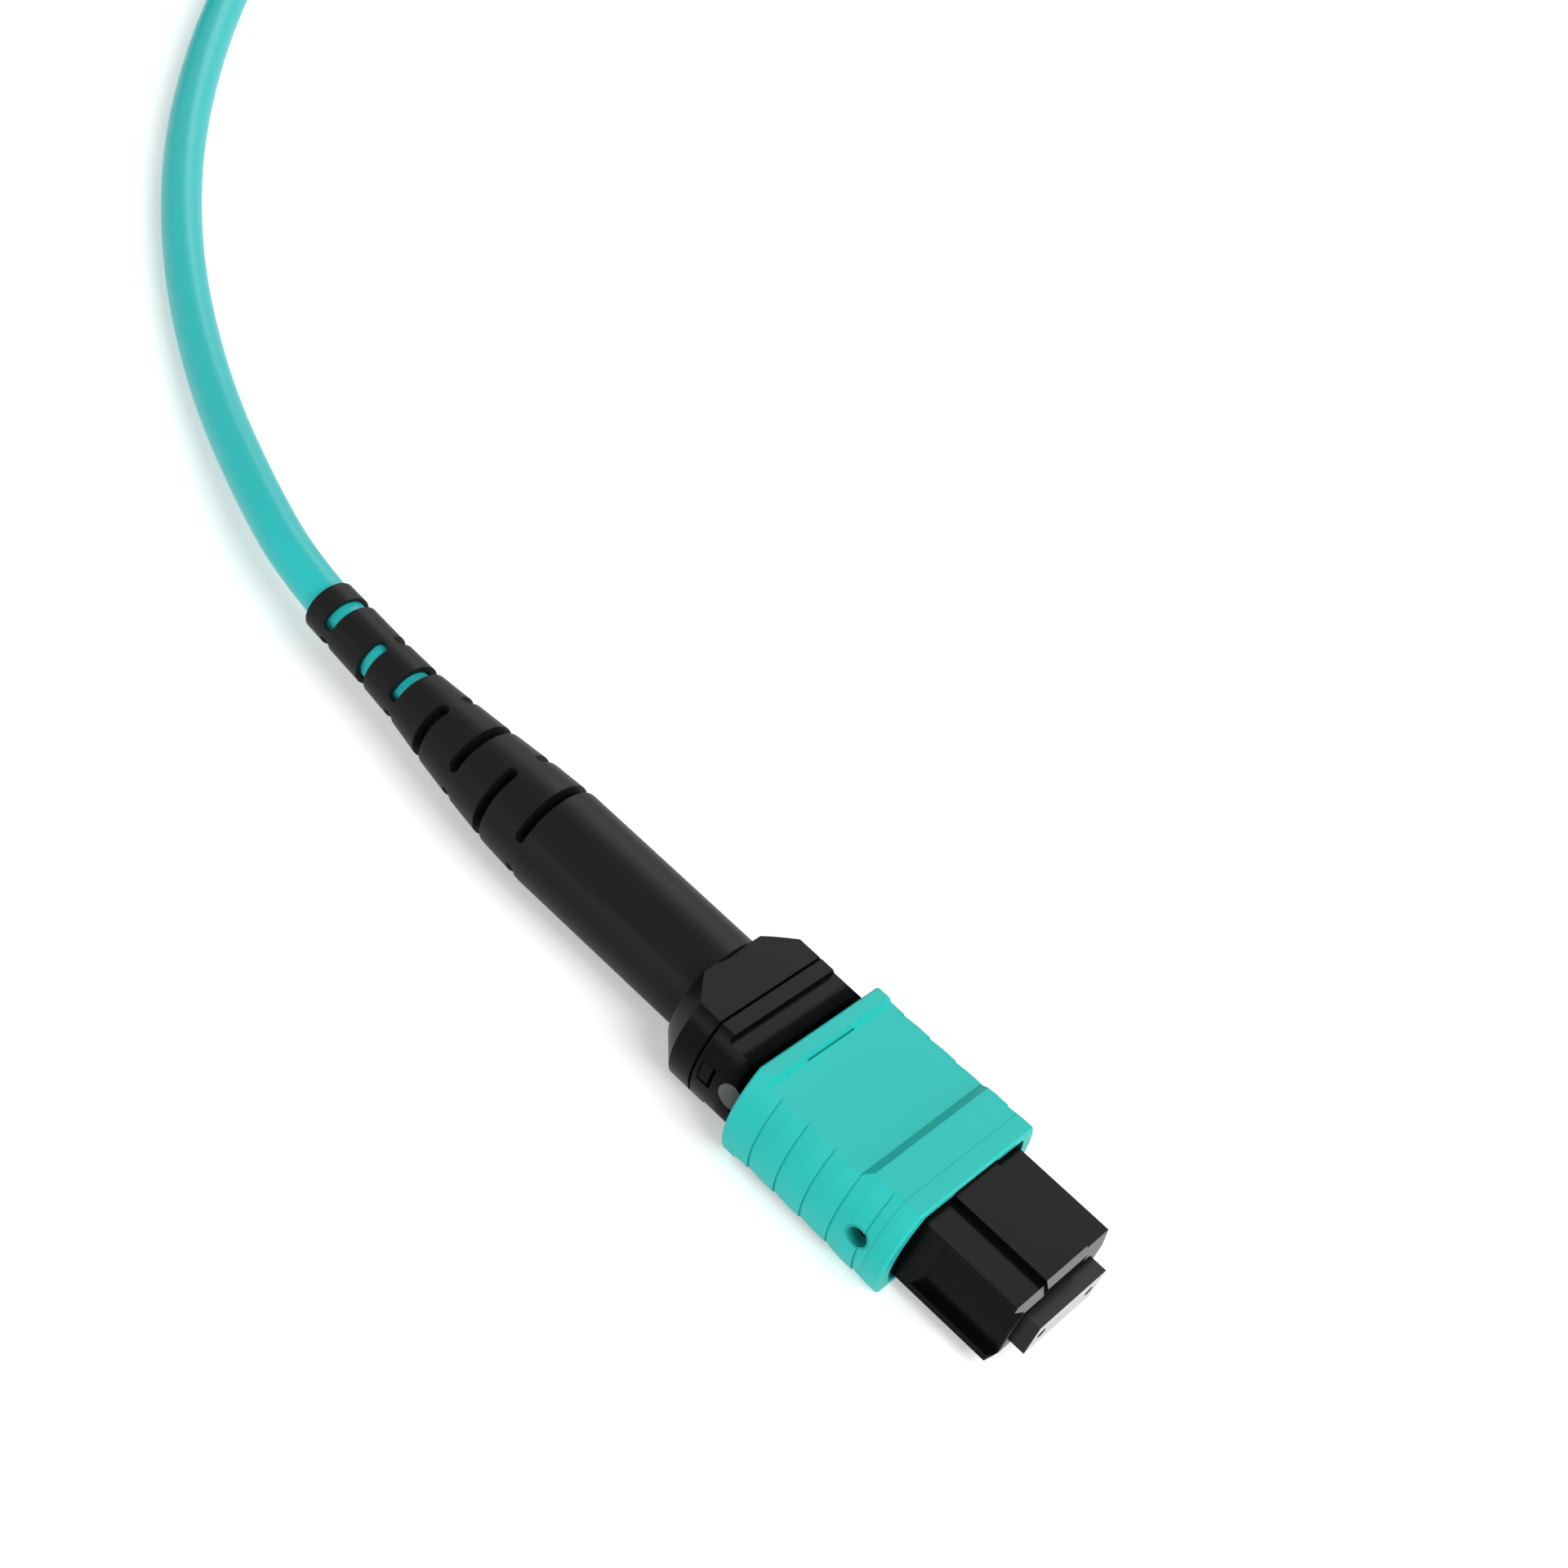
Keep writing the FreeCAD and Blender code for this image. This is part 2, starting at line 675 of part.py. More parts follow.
def wound_spring(name, wire, bend, straight, front, rear, half_turns, side_shift=0.0):
    """A spring along the connector: round, or oval where it has straight runs."""
    slope = (rear - front) / (half_turns * (math.pi * bend + 2 * straight) - 2 * straight)
    middles = []
    x = -front
    for number in range(half_turns):
        side = 1 if number % 2 == 0 else -1
        last = number == half_turns - 1
        for step in range(END_STEPS + (1 if straight > 0 or last else 0)):
            turn = math.pi * step / END_STEPS
            out = side * (straight + bend * math.sin(turn))
            place_x = x - slope * bend * turn
            middles.append(Vector(place_x, side_shift + out, -side * bend * math.cos(turn)))
        x -= slope * (math.pi * bend + 2 * straight)
    rings = []
    for number, middle in enumerate(middles):
        before = middles[max(number - 1, 0)]
        after = middles[min(number + 1, len(middles) - 1)]
        along = Vector(0, 0, 0)
        for run in (middle - before, after - middle):
            if run.Length > 0:
                along += run.normalize()
        rings.append(wire_section(middle, along.normalize(), wire))
    piece = doc.addObject("Part::Feature", name)
    piece.Label = name
    piece.Shape = Part.makeLoft(rings, True, True)
    place(piece)
    return piece


def wire_section(middle, along, radius):
    """The wire's section across its run, an outline of WIRE_SIDES flats."""
    up = Vector(1, 0, 0)
    up = (up - along * up.dot(along)).normalize()
    across = along.cross(up)
    corners = []
    for number in range(WIRE_SIDES):
        turn = 2 * math.pi * number / WIRE_SIDES
        corners.append(middle + up * radius * math.cos(turn) + across * radius * math.sin(turn))
    return Part.makePolygon(corners + corners[:1])


def main_spring():
    """The oval spring that presses the ferrule forward: round ends joined by straight runs."""
    wire = size("spring_wire_radius")
    bend = size("spring_half_height") - wire
    straight = size("spring_half_width") - wire - bend
    front = size(KEEPER_REAR + " + spring_rest_gap") + wire
    rear = size("tongue_front - spring_rest_gap") - wire
    return wound_spring("main_spring", wire, bend, straight, front, rear, round(2 * size("spring_turns")))


def side_spring(name, side):
    """A small round spring between the slider's driver and the barrel."""
    wire = size("side_spring_wire")
    front = size("%s + driver_length" % MOUTH_END) + wire
    rear = size("barrel_front") - wire
    half_turns = round(2 * size("side_spring_turns"))
    shift = side * size("channel_centre")
    return wound_spring(name, wire, size("side_spring_radius"), 0.0, front, rear, half_turns, shift)


# ---------------------------------------------------------------- spring push and crimp


def spring_push():
    """The rear moulding: tongue, two latch arms, the visible cap and the crimp post."""
    body = new_body("spring_push")
    cap = add_flat_round(section(body, CAP_REAR), "barrel_radius", "barrel_half_height")
    pad(body, cap, "cap_length")
    cone = new_sketch(body, "XZ_Plane")
    shoulder = "(%s + cap_straight)" % CAP_FRONT
    add_polygon(
        cone,
        [
            (minus(shoulder), "barrel_radius"),
            (minus(CAP_REAR), "cap_rear_radius"),
            (minus(CAP_REAR), "barrel_radius + 1"),
            (minus(shoulder), "barrel_radius + 1"),
        ],
    )
    turned(body, "Groove", cone)
    tongue = section(body, CAP_FRONT)
    add_centred_rectangle(tongue, "tongue_half_width", "tongue_half_height")
    pad(body, tongue, "%s - tongue_front" % CAP_FRONT)
    arms = section(body, CAP_FRONT)
    height = "arm_half_height"
    add_rectangle(arms, "arm_inner", minus(height), "arm_outer", height)
    add_rectangle(arms, minus("arm_outer"), minus(height), minus("arm_inner"), height)
    pad(body, arms, "%s - arm_front" % CAP_FRONT)
    teeth = section(body, "tooth_front + tooth_length")
    inner = "(arm_outer - 0.3)"
    height = "tooth_half_height"
    add_rectangle(teeth, inner, minus(height), "tooth_outer", height)
    add_rectangle(teeth, minus("tooth_outer"), minus(height), minus(inner), height)
    pad(body, teeth, "tooth_length")
    post = section(body, "post_end")
    add_circle(post, "0", "0", "post_radius")
    pad(body, post, "post_end - %s" % CAP_FRONT)
    passage = section(body, "tongue_front")
    add_flat_round(passage, "passage_radius", "passage_half_height")
    pocket(body, passage, "%s + cap_straight - tongue_front" % CAP_FRONT)
    bore = section(body, CAP_FRONT)
    add_circle(bore, "0", "0", "post_bore")
    pocket(body, bore, "post_end - %s" % CAP_FRONT)
    return body


def crimp_ring():
    """The stepped metal ring over the post and yarn, with its neck crimped on the jacket."""
    body = new_body("crimp_ring")
    inner = "(post_radius + yarn_gap * 2 + yarn_thickness)"
    outer = "(%s + crimp_wall)" % inner
    neck = "(cable_radius + 0.03)"
    profile = new_sketch(body, "XZ_Plane")
    add_polygon(
        profile,
        [
            (minus("crimp_front"), inner),
            (minus("post_end + 0.3"), inner),
            (minus("jacket_front + 0.2"), neck),
            (minus("crimp_neck_end"), neck),
            (minus("crimp_neck_end"), neck + " + crimp_wall"),
            (minus("jacket_front + 0.3"), neck + " + crimp_wall"),
            (minus("post_end + 0.4"), outer),
            (minus("crimp_front"), outer),
        ],
    )
    turned(body, "Revolution", profile)
    return body


def aramid_yarn():
    """The yarn folded back over the post, under the crimp ring."""
    body = new_body("aramid_yarn")
    inner = "(post_radius + yarn_gap)"
    profile = new_sketch(body, "XZ_Plane")
    outer = inner + " + yarn_thickness"
    add_rectangle(profile, minus("post_end + 0.2"), inner, minus("crimp_front + 0.3"), outer)
    turned(body, "Revolution", profile)
    return body


def fibre_ribbon():
    """The flat twelve-fibre ribbon between the ferrule and the back of the spring."""
    body = new_body("fibre_ribbon")
    back = section(body, "ribbon_end")
    add_centred_rectangle(back, "ribbon_half_width", "ribbon_half_height")
    pad(body, back, "ribbon_end - fibre_reach")
    return body


def fibre_bundle():
    """The same fibres gathered to a narrow bundle, through the post to the cable's jacket."""
    body = new_body("fibre_bundle")
    back = section(body, "jacket_front")
    add_flat_round(back, "bundle_radius", "bundle_half_height")
    pad(body, back, "jacket_front - bundle_start")
    mouth = section(body, "bundle_start")
    add_centred_rectangle(mouth, "bundle_radius * 0.7", "bundle_half_height * 0.7")
    flat = section(body, "ribbon_end")
    add_centred_rectangle(flat, "ribbon_half_width", "ribbon_half_height")
    feature(body, "AdditiveLoft", mouth, Sections=[flat], Ruled=True)
    return body


# ---------------------------------------------------------------- the cord's route

# The route's corners, from the jacket's end in the boot to the coil, hand set: station behind the
# ferrule's face, distance to the left of the axis, height of the cable's middle above the surface,
# or None at the height of the connector's axis.
ROUTE = [
    (34.5, 0.0, None),
    (47.5, 0.0, None),
    (66.0, 1.53, None),
    (75.0, 4.9, 3.0),
    (85.8, 10.15, 1.95),
    (97.5, 17.3, 1.54),
    (108.6, 26.0, 1.56),
    (118.9, 36.3, 1.53),
    (128.2, 47.4, 1.55),
    (139.33, 62.17, 2.0),
]

# The last length, which comes off the coil and lies beside it: degrees round the coil's middle,
# distance from it, height of the cable's middle.
TAIL = [
    (170.0, 21.0, 5.0),
    (200.0, 24.6, 2.6),
    (228.0, 26.6, 1.56),
]
BARE_YARN = 5.0
BARE_RIBBON = 13.0
RIBBON_GAP = 0.15


def corner_arc(before, corner, after):
    """The tangent arc that rounds a corner: where it starts and ends, its centre and radius."""
    back = before - corner
    ahead = after - corner
    reach = 0.45 * min(back.Length, ahead.Length)
    back.normalize()
    ahead.normalize()
    half_turn = (math.pi - back.getAngle(ahead)) / 2
    radius = reach / math.tan(half_turn)
    inward = (back + ahead).normalize()
    centre = corner + inward * (radius / math.cos(half_turn))
    return corner + back * reach, corner + ahead * reach, centre, radius


def round_rod(points, radius, name):
    """A round rod along straight runs joined by tangent arcs; prints the arcs' radii."""
    lengths = []
    bends = []
    rods = []
    here = points[0]
    for before, corner, after in zip(points, points[1:], points[2:]):
        start, end, centre, bend = corner_arc(before, corner, after)
        rods.append(disc(here, start - here, radius).extrude(start - here))
        spoke = start - centre
        turn = spoke.getAngle(end - centre)
        axis = spoke.cross(end - centre)
        rods.append(disc(start, start - here, radius).revolve(centre, axis, math.degrees(turn)))
        lengths += [(start - here).Length, bend * turn]
        bends.append(bend)
        here = end
    last = points[-1] - here
    rods.append(disc(here, last, radius).extrude(last))
    lengths.append(last.Length)
    solid = rods[0].multiFuse(rods[1:])
    ratio = solid.Volume / (math.pi * radius**2 * sum(lengths))
    print(name, "arc radii, mm:", ", ".join("%.1f" % bend for bend in bends))
    print(name, "length %.1f mm, volume ratio %.4f" % (sum(lengths), ratio))
    return solid


def disc(middle, facing, radius):
    return Part.Face(Part.Wire([Part.Circle(middle, facing, radius).toShape()]))


def tube(name, points, radius):
    """The cable itself, plain and round, along its own points."""
    piece = doc.addObject("Part::Feature", name)
    piece.Label = name
    piece.Shape = round_rod(points, radius, name)
    place(piece)
    return piece


def route_points():
    """The route in the connector's frame."""
    axis = size(AXIS_HEIGHT)
    points = []
    for station, left, above in ROUTE:
        points.append(Vector(-station, left, 0 if above is None else above - axis))
    return points


def coil_centre():
    """The coil lies to the left of the route's end, which is tangent to its outer turn."""
    before, end = route_points()[-2:]
    heading = Vector(end.x - before.x, end.y - before.y, 0).normalize()
    left = Vector(-heading.y, heading.x, 0)
    outer_turn = size("coil_radius") + (COIL_COLUMNS - 1) * size("cable_radius")
    centre = end + left * outer_turn
    return Vector(centre.x, centre.y, -size(AXIS_HEIGHT))


def tail_points():
    centre = coil_centre()
    points = []
    for degrees, reach, above in TAIL:
        angle = math.radians(degrees)
        points.append(centre + Vector(reach * math.cos(angle), reach * math.sin(angle), above))
    return points


def cable():
    return tube("cable", route_points(), size("cable_radius"))


def cable_tail():
    return tube("cable_tail", tail_points(), size("cable_radius"))


def tail_yarn():
    """The trimmed yarn that shows at the jacket's bare end."""
    before, end = tail_points()[-2:]
    piece = doc.addObject("Part::Feature", "tail_yarn")
    piece.Label = "tail_yarn"
    piece.Shape = Part.makeCylinder(0.75 * size("cable_radius"), BARE_YARN, end, end - before)
    place(piece)
    return piece


def tail_ribbon():
    """The bare fibres, left long for splicing, drooping to the surface."""
    before, end = tail_points()[-2:]
    heading = Vector(end.x - before.x, end.y - before.y, 0).normalize()
    start = end + heading * (BARE_YARN + RIBBON_GAP)
    drop = start.z + size(AXIS_HEIGHT) - 2 * size("ribbon_half_height")
    across = Vector(-heading.y, heading.x, 0)
    finish = start + heading * BARE_RIBBON - Vector(0, 0, drop)
    half = across * size("ribbon_half_width") * 0.5
    thick = Vector(0, 0, size("ribbon_half_height"))
    corners = [start - half - thick, start + half - thick, start + half + thick, start - half + thick]
    face = Part.Face(Part.makePolygon(corners + corners[:1]))
    piece = doc.addObject("Part::Feature", "tail_ribbon")
    piece.Label = "tail_ribbon"
    piece.Shape = face.extrude(finish - start)
    place(piece)
    return piece


def cable_coil():
    """The rest of the pigtail, wound up: the closed outer shape of the coil's turns."""
    body = doc.addObject("PartDesign::Body", "cable_coil")
    body.Label = "cable_coil"
    half_width = "(%d * cable_radius)" % COIL_COLUMNS
    profile = new_sketch(body, "XZ_Plane")
    top = "(coil_lift + %d * cable_radius)" % (2 * COIL_LAYERS)
    add_rectangle(profile, "coil_radius - " + half_width, "coil_lift", "coil_radius + " + half_width, top)
    feature(body, "Revolution", profile, ReferenceAxis=(profile, ["V_Axis"]), Angle=360)
    blank = body.Tip
    rings = [
        "Edge%d" % number
        for number, edge in enumerate(blank.Shape.Edges, start=1)
        if edge.Curve.TypeId == "Part::GeomCircle" and edge.Curve.Radius > size("coil_radius")
    ]
    bevel = body.newObject("PartDesign::Chamfer", "coil_bevel")
    bevel.Base = (blank, rings)
    bevel.setExpression("Size", bound("cable_radius * 0.5"))
    centre = coil_centre()
    body.Placement.Base = centre + Vector(size(FACE_X), 0, size(AXIS_HEIGHT))
    return body


def coil_tie():
    """The soft tie round the coil's section, on the side away from the connector."""
    wall = size("coil_lift")
    half = COIL_COLUMNS * size("cable_radius")
    height = 2 * COIL_LAYERS * size("cable_radius")
    width = size("tie_width")
    slack = 0.25
    outer = Part.makeBox(width, 2 * (half + wall + slack), height + 2 * wall)
    inner = Part.makeBox(width, 2 * (half + slack), height, Vector(0, wall, wall))
    piece = doc.addObject("Part::Feature", "coil_tie")
    piece.Label = "coil_tie"
    piece.Shape = outer.cut(inner)
    centre = coil_centre() + Vector(size(FACE_X), 0, size(AXIS_HEIGHT))
    turn = math.radians(270)
    reach = size("coil_radius")
    middle = centre + Vector(reach * math.cos(turn), reach * math.sin(turn), 0)
    piece.Placement.Base = middle - Vector(width / 2, half + wall + slack, 0)
    return piece


# ---------------------------------------------------------------- strain relief boot

# The boot's outside: share of the taper's length, share of the front's wall round the bore.
BOOT_PROFILE = [
    (0.0, 1.0),
    (0.1333, 0.9018),
    (0.2889, 0.694),
    (0.4444, 0.4843),
    (0.6, 0.2577),
    (0.7333, 0.184),
    (1.0, 0.1387),
]
# The slotted rings: share of the taper's length, slot width; even ones open above and below, odd
# ones at the sides.
SLOT_RINGS = [
    (0.0267, 0.7),
    (0.1689, 0.72),
    (0.3111, 0.75),
    (0.4578, 0.78),
    (0.6044, 0.82),
    (0.7422, 0.86),
    (0.9111, 0.9),
]


def taper_station(share):
    """The station of a share of the boot's taper."""
    return size("boot_taper_start + %g * (boot_end - boot_taper_start)" % share)


def boot_axis(station):
    """A point of the boot's gently bent middle line, and the direction to the rear there."""
    before, corner, after = route_points()[:3]
    start, _, _, radius = corner_arc(before, corner, after)
    bend = -start.x
    turn = math.atan2(after.y - corner.y, corner.x - after.x)
    if station <= bend:
        return Vector(-station, 0, 0), Vector(-1, 0, 0)
    angle = min((station - bend) / radius, turn)
    point = Vector(-bend - radius * math.sin(angle), radius * (1 - math.cos(angle)), 0)
    heading = Vector(-math.cos(angle), math.sin(angle), 0)
    return point + heading * (station - bend - radius * angle), heading


def boot_ring(station, radius):
    """The boot's outline across its bent axis, with BOOT_FLATS flats."""
    point, heading = boot_axis(station)
    across = Vector(0, 0, 1).cross(heading)
    rim = []
    for number in range(BOOT_FLATS):
        turn = 2 * math.pi * number / BOOT_FLATS
        rim.append(point + across * radius * math.cos(turn) + Vector(0, 0, radius * math.sin(turn)))
    return Part.makePolygon(rim + rim[:1])


def slot_end(out, reach):
    """The section of a slot's end, an eight-sided rim across its run outwards."""
    across = Vector(-out.y, out.x, 0)
    along = Vector(0, 0, 1)
    flats = 8
    corner_reach = reach / math.cos(math.pi / flats)
    rim = []
    for corner in range(flats):
        turn = 2 * math.pi * (corner + 0.5) / flats
        rim.append((across * math.cos(turn) + along * math.sin(turn)) * corner_reach)
    return Part.Face(Part.makePolygon(rim + rim[:1]))


def slot_cutters(station, width, upright):
    """Two opposite slots, each a part of a ring with rounded ends."""
    point, heading = boot_axis(station)
    side = Vector(0, 0, 1) if upright else Vector(0, 0, 1).cross(heading)
    depth = size("boot_radius") + 1
    arc = size("slot_arc") - math.degrees(width / size("boot_radius"))
    cutters = []
    for sign in (1, -1):
        middle = side * sign
        frame = FreeCAD.Placement(point, FreeCAD.Rotation(middle, heading.cross(middle), heading, "ZXY"))
        wedge = Part.makeCylinder(depth, width, Vector(0, 0, -width / 2), Vector(0, 0, 1), arc)
        wedge.rotate(Vector(0, 0, 0), Vector(0, 0, 1), -arc / 2)
        for end in (-arc / 2, arc / 2):
            turn = math.radians(end)
            out = Vector(math.cos(turn), math.sin(turn), 0)
            wedge = wedge.fuse(slot_end(out, width / 2).extrude(out * depth))
        wedge.Placement = frame
        cutters.append(wedge)
    return cutters


def strain_relief_boot():
    """The slotted rubber boot: a straight root, then a slim tapering tail that bends."""
    root = size("boot_radius")
    gap = size("boot_bore_gap")
    bore_radius = size("cable_radius") + gap
    first = size(CAP_REAR)
    straight_end = size("boot_taper_start")
    body = Part.makeCylinder(root, straight_end - first, Vector(-first, 0, 0), Vector(-1, 0, 0))
    rings = []
    for place_share, wall_share in BOOT_PROFILE:
        radius = bore_radius + wall_share * (root - bore_radius)
        rings.append(boot_ring(taper_station(place_share), radius))
    body = body.fuse(Part.makeLoft(rings, True, True))

    # the bore: over the crimp ring, down its cone, then close to the cable
    ring_outer = size("post_radius + yarn_gap * 2 + yarn_thickness + crimp_wall") + gap
    neck_outer = size("cable_radius + 0.03 + crimp_wall") + gap
    steps = [
        (first - 1, ring_outer),
        (size("post_end") + 0.6, ring_outer),
        (size("jacket_front") + 0.6, neck_outer),
        (size("crimp_neck_end") + 0.3, neck_outer),
        (size("crimp_neck_end") + 0.3, 0.0),
        (first - 1, 0.0),
    ]
    outline = Part.makePolygon([Vector(-station, 0, reach) for station, reach in steps + steps[:1]])
    cavity = Part.Face(outline).revolve(Vector(0, 0, 0), Vector(1, 0, 0), 360)
    body = body.cut(cavity)
    bore = round_rod(route_points()[:4], bore_radius, "boot bore")
    body = body.cut(bore)
    cutters = []
    for number, (place_share, width) in enumerate(SLOT_RINGS):
        cutters += slot_cutters(taper_station(place_share), width, number % 2 == 0)
    piece = doc.addObject("Part::Feature", "strain_relief_boot")
    piece.Label = "strain_relief_boot"
    piece.Shape = body.cut(cutters)
    place(piece)
    return piece


# ---------------------------------------------------------------- build, check, write

PIECES = [
    plug_housing(),
    coupling_slider(),
    side_spring("coupling_spring_left", 1),
    side_spring("coupling_spring_right", -1),
    ferrule(),
    ferrule_fibres(),
    ferrule_boot(),
    pin_keeper(),
    main_spring(),
    fibre_ribbon(),
    fibre_bundle(),
    spring_push(),
    crimp_ring(),
    aramid_yarn(),
    strain_relief_boot(),
    cable(),
    cable_coil(),
    coil_tie(),
    cable_tail(),
    tail_yarn(),
    tail_ribbon(),
]
doc.recompute()

for item in doc.Objects:
    if "Invalid" in item.State or "Error" in item.State:
        raise RuntimeError("%s: %s" % (item.Label, item.State))
for piece in PIECES:
    if piece.Shape.isNull() or not piece.Shape.isValid() or not piece.Shape.Solids:
        raise RuntimeError("%s has no valid solid" % piece.Label)

os.makedirs("parts", exist_ok=True)
for piece in PIECES:
    piece.Shape.exportStep(os.path.join("parts", piece.Label + ".step"))
    box = piece.Shape.BoundBox
    print(
        "%-22s solids %2d volume %9.3f  x %8.2f %8.2f  y %8.2f %8.2f  z %6.2f %6.2f"
        % (
            piece.Label,
            len(piece.Shape.Solids),
            piece.Shape.Volume,
            box.XMin,
            box.XMax,
            box.YMin,
            box.YMax,
            box.ZMin,
            box.ZMax,
        )
    )
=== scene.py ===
"""Looks of a multi-fibre push-pull connector on a coiled pigtail, built round its solid model."""

import math

import bmesh
import bpy
from mathutils import Matrix, Vector


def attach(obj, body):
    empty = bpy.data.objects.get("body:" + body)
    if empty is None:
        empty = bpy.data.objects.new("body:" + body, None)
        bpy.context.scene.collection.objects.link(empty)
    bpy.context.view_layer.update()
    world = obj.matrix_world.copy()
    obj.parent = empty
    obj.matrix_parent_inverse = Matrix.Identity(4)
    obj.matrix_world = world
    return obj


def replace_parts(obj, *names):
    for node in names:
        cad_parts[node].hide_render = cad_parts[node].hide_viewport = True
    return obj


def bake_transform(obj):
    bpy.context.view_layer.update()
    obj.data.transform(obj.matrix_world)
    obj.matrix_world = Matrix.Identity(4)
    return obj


bl_info = {
    "name": "Multi-fibre connector",
    "version": (1, 0, 0),
    "blender": (4, 5, 0),
    "location": "View3D > Sidebar > Connector",
    "description": "Finishes the connector's moulded, metal and glass pieces and lays its cable",
    "category": "Object",
}

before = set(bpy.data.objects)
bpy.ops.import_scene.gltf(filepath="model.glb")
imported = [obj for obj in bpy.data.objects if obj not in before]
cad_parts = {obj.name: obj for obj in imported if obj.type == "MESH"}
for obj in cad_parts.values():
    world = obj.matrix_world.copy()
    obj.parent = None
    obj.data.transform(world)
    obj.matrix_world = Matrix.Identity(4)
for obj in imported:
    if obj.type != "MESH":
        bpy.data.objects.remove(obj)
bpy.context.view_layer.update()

MM = 0.001
# the ferrule's polished face and the plug's middle line, in the frame
FACE_X = 31.75 * MM
AXIS_Z = 3.62 * MM

# Vertices closer than this are one.
WELD = 0.001 * MM

# The sizes below are in millimetres. A station is a distance behind the ferrule's face.
# The nose: its front's station, the bevel's run back and fall.
NOSE_FRONT = 1.08
BEVEL_RUN = 0.3
BEVEL_FALL = 0.45
# The key above the middle line: its top, its half width at the solid's tip and over its length.
KEY_TOP = 3.01
KEY_TIP = 1.34
KEY_HALF = 1.94
# The waist between slider and cap, in stations: where the slider covers it, where its shade is
# deepest, where the shade ends and the hollow begins, the foot of the solid's slope, and the
# step made of that.
WAIST_COVERED = 19.0
WAIST_DARK = 21.3
WAIST_OPEN = 22.3
WAIST_FOOT = 22.75
WAIST_STEP = 23.05
# How far the hollow runs, and how it deepens with the square of that.
HOLLOW_RUN = 3.1
HOLLOW_CURVE = 260.0
DOT_STATION = 21.3
JOINT_STATION = 24.12
# Lines and a ring of painted shade on the slider, in stations.
RIM_LINE = 9.5
GRIP_LINES = 5
GRIP_FIRST = 10.2
GRIP_STEP = 2.04
SIDE_HOLE = 10.5
SLIT_LINE = 19.39
# The springs' and the ribbon's ends, in stations, and the ribbon's cuts.
RIBBON = (9.4, 16.6)
RIBBON_CUTS = 9
RIBBON_STEP = 0.9
# Where the painted shadow on the cable inside the boot ends, a station.
BOOT_SHADOW_END = 53.2

# Tones painted over a piece's own colour: painted shade on the waist, the dot's print, a painted
# highlight on the bevel, painted shade in the slider's lines and painted shadow on the cable inside the
# boot.
WAIST_PAINTED_SHADE = (0.0004, 0.0004, 0.0004)
DOT_GREY = (0.135, 0.135, 0.137)
BEVEL_HIGHLIGHT = (0.205, 0.205, 0.207)
SHADE_LINE_AQUA = (0.004, 0.16, 0.15)
BOOT_SHADOW_BLACK = (0.004, 0.004, 0.004)


# ---------------------------------------------------------------- sizes and colours


class ConnectorSizes(bpy.types.PropertyGroup):
    cable_diameter: bpy.props.FloatProperty(
        name="Cable diameter", description="Outside of the jacket", default=3.0 * MM, unit="LENGTH"
    )
    cord_length: bpy.props.FloatProperty(
        name="Cord length", description="From the boot to the end of the jacket", default=0.93,
        unit="LENGTH",
    )
    strap_thickness: bpy.props.FloatProperty(
        name="Strap thickness", description="Hook and loop strap round the coil",
        default=0.42 * MM, unit="LENGTH",
    )
    strap_width: bpy.props.FloatProperty(
        name="Strap width", description="Hook and loop strap round the coil",
        default=3.9 * MM, unit="LENGTH",
    )
    dot_radius: bpy.props.FloatProperty(
        name="Polarity dot", description="Radius of the dot that marks fibre one",
        default=0.85 * MM, unit="LENGTH",
    )


class ConnectorColours(bpy.types.PropertyGroup):
    slider: bpy.props.FloatVectorProperty(
        name="Slider", description="Aqua moulding of the sliding sleeve", subtype="COLOR", size=3,
        default=(0.026, 0.59, 0.535),
    )
    housing: bpy.props.FloatVectorProperty(
        name="Housing", description="Black moulding of the plug", subtype="COLOR", size=3,
        default=(0.0042, 0.0042, 0.0045),
    )
    boot: bpy.props.FloatVectorProperty(
        name="Boot", description="Black rubber of the strain relief", subtype="COLOR", size=3,
        default=(0.009, 0.009, 0.0094),
    )
    jacket: bpy.props.FloatVectorProperty(
        name="Jacket", description="Aqua jacket of the cable", subtype="COLOR", size=3,
        default=(0.024, 0.60, 0.59),
    )
    ferrule: bpy.props.FloatVectorProperty(
        name="Ferrule", description="Filled resin of the ferrule's sides", subtype="COLOR", size=3,
        default=(0.014, 0.014, 0.0145),
    )
    # the polished end's pale tone is a painted highlight that stands for its glare
    ferrule_face_highlight: bpy.props.FloatVectorProperty(
        name="Ferrule face", description="Polished end of the ferrule", subtype="COLOR", size=3,
        default=(0.54, 0.54, 0.53),
    )


class StageSettings(bpy.types.PropertyGroup):
    floor_size: bpy.props.FloatProperty(
        name="Floor size", description="Side of the square floor", default=6.0, unit="LENGTH"
    )
    key_power: bpy.props.FloatProperty(
        name="Light", description="Power of all the panels, as a share", default=1.0
    )
    lens: bpy.props.FloatProperty(name="Lens", description="Focal length of the camera", default=60.354)


def sizes():
    """The sizes set in the panel."""
    return bpy.context.scene.connector_sizes


def colours():
    """The colours set in the panel."""
    return bpy.context.scene.connector_colours


# ---------------------------------------------------------------- shared shader effects


def new_group(name, inputs, outputs):
    """An empty shader group with these sockets, and its two end nodes."""
    group = bpy.data.node_groups.new(name, "ShaderNodeTree")
    for label, kind, default in inputs:
        socket = group.interface.new_socket(name=label, in_out="INPUT", socket_type=kind)
        socket.default_value = default
    for label, kind in outputs:
        group.interface.new_socket(name=label, in_out="OUTPUT", socket_type=kind)
    return group, group.nodes.new("NodeGroupInput"), group.nodes.new("NodeGroupOutput")


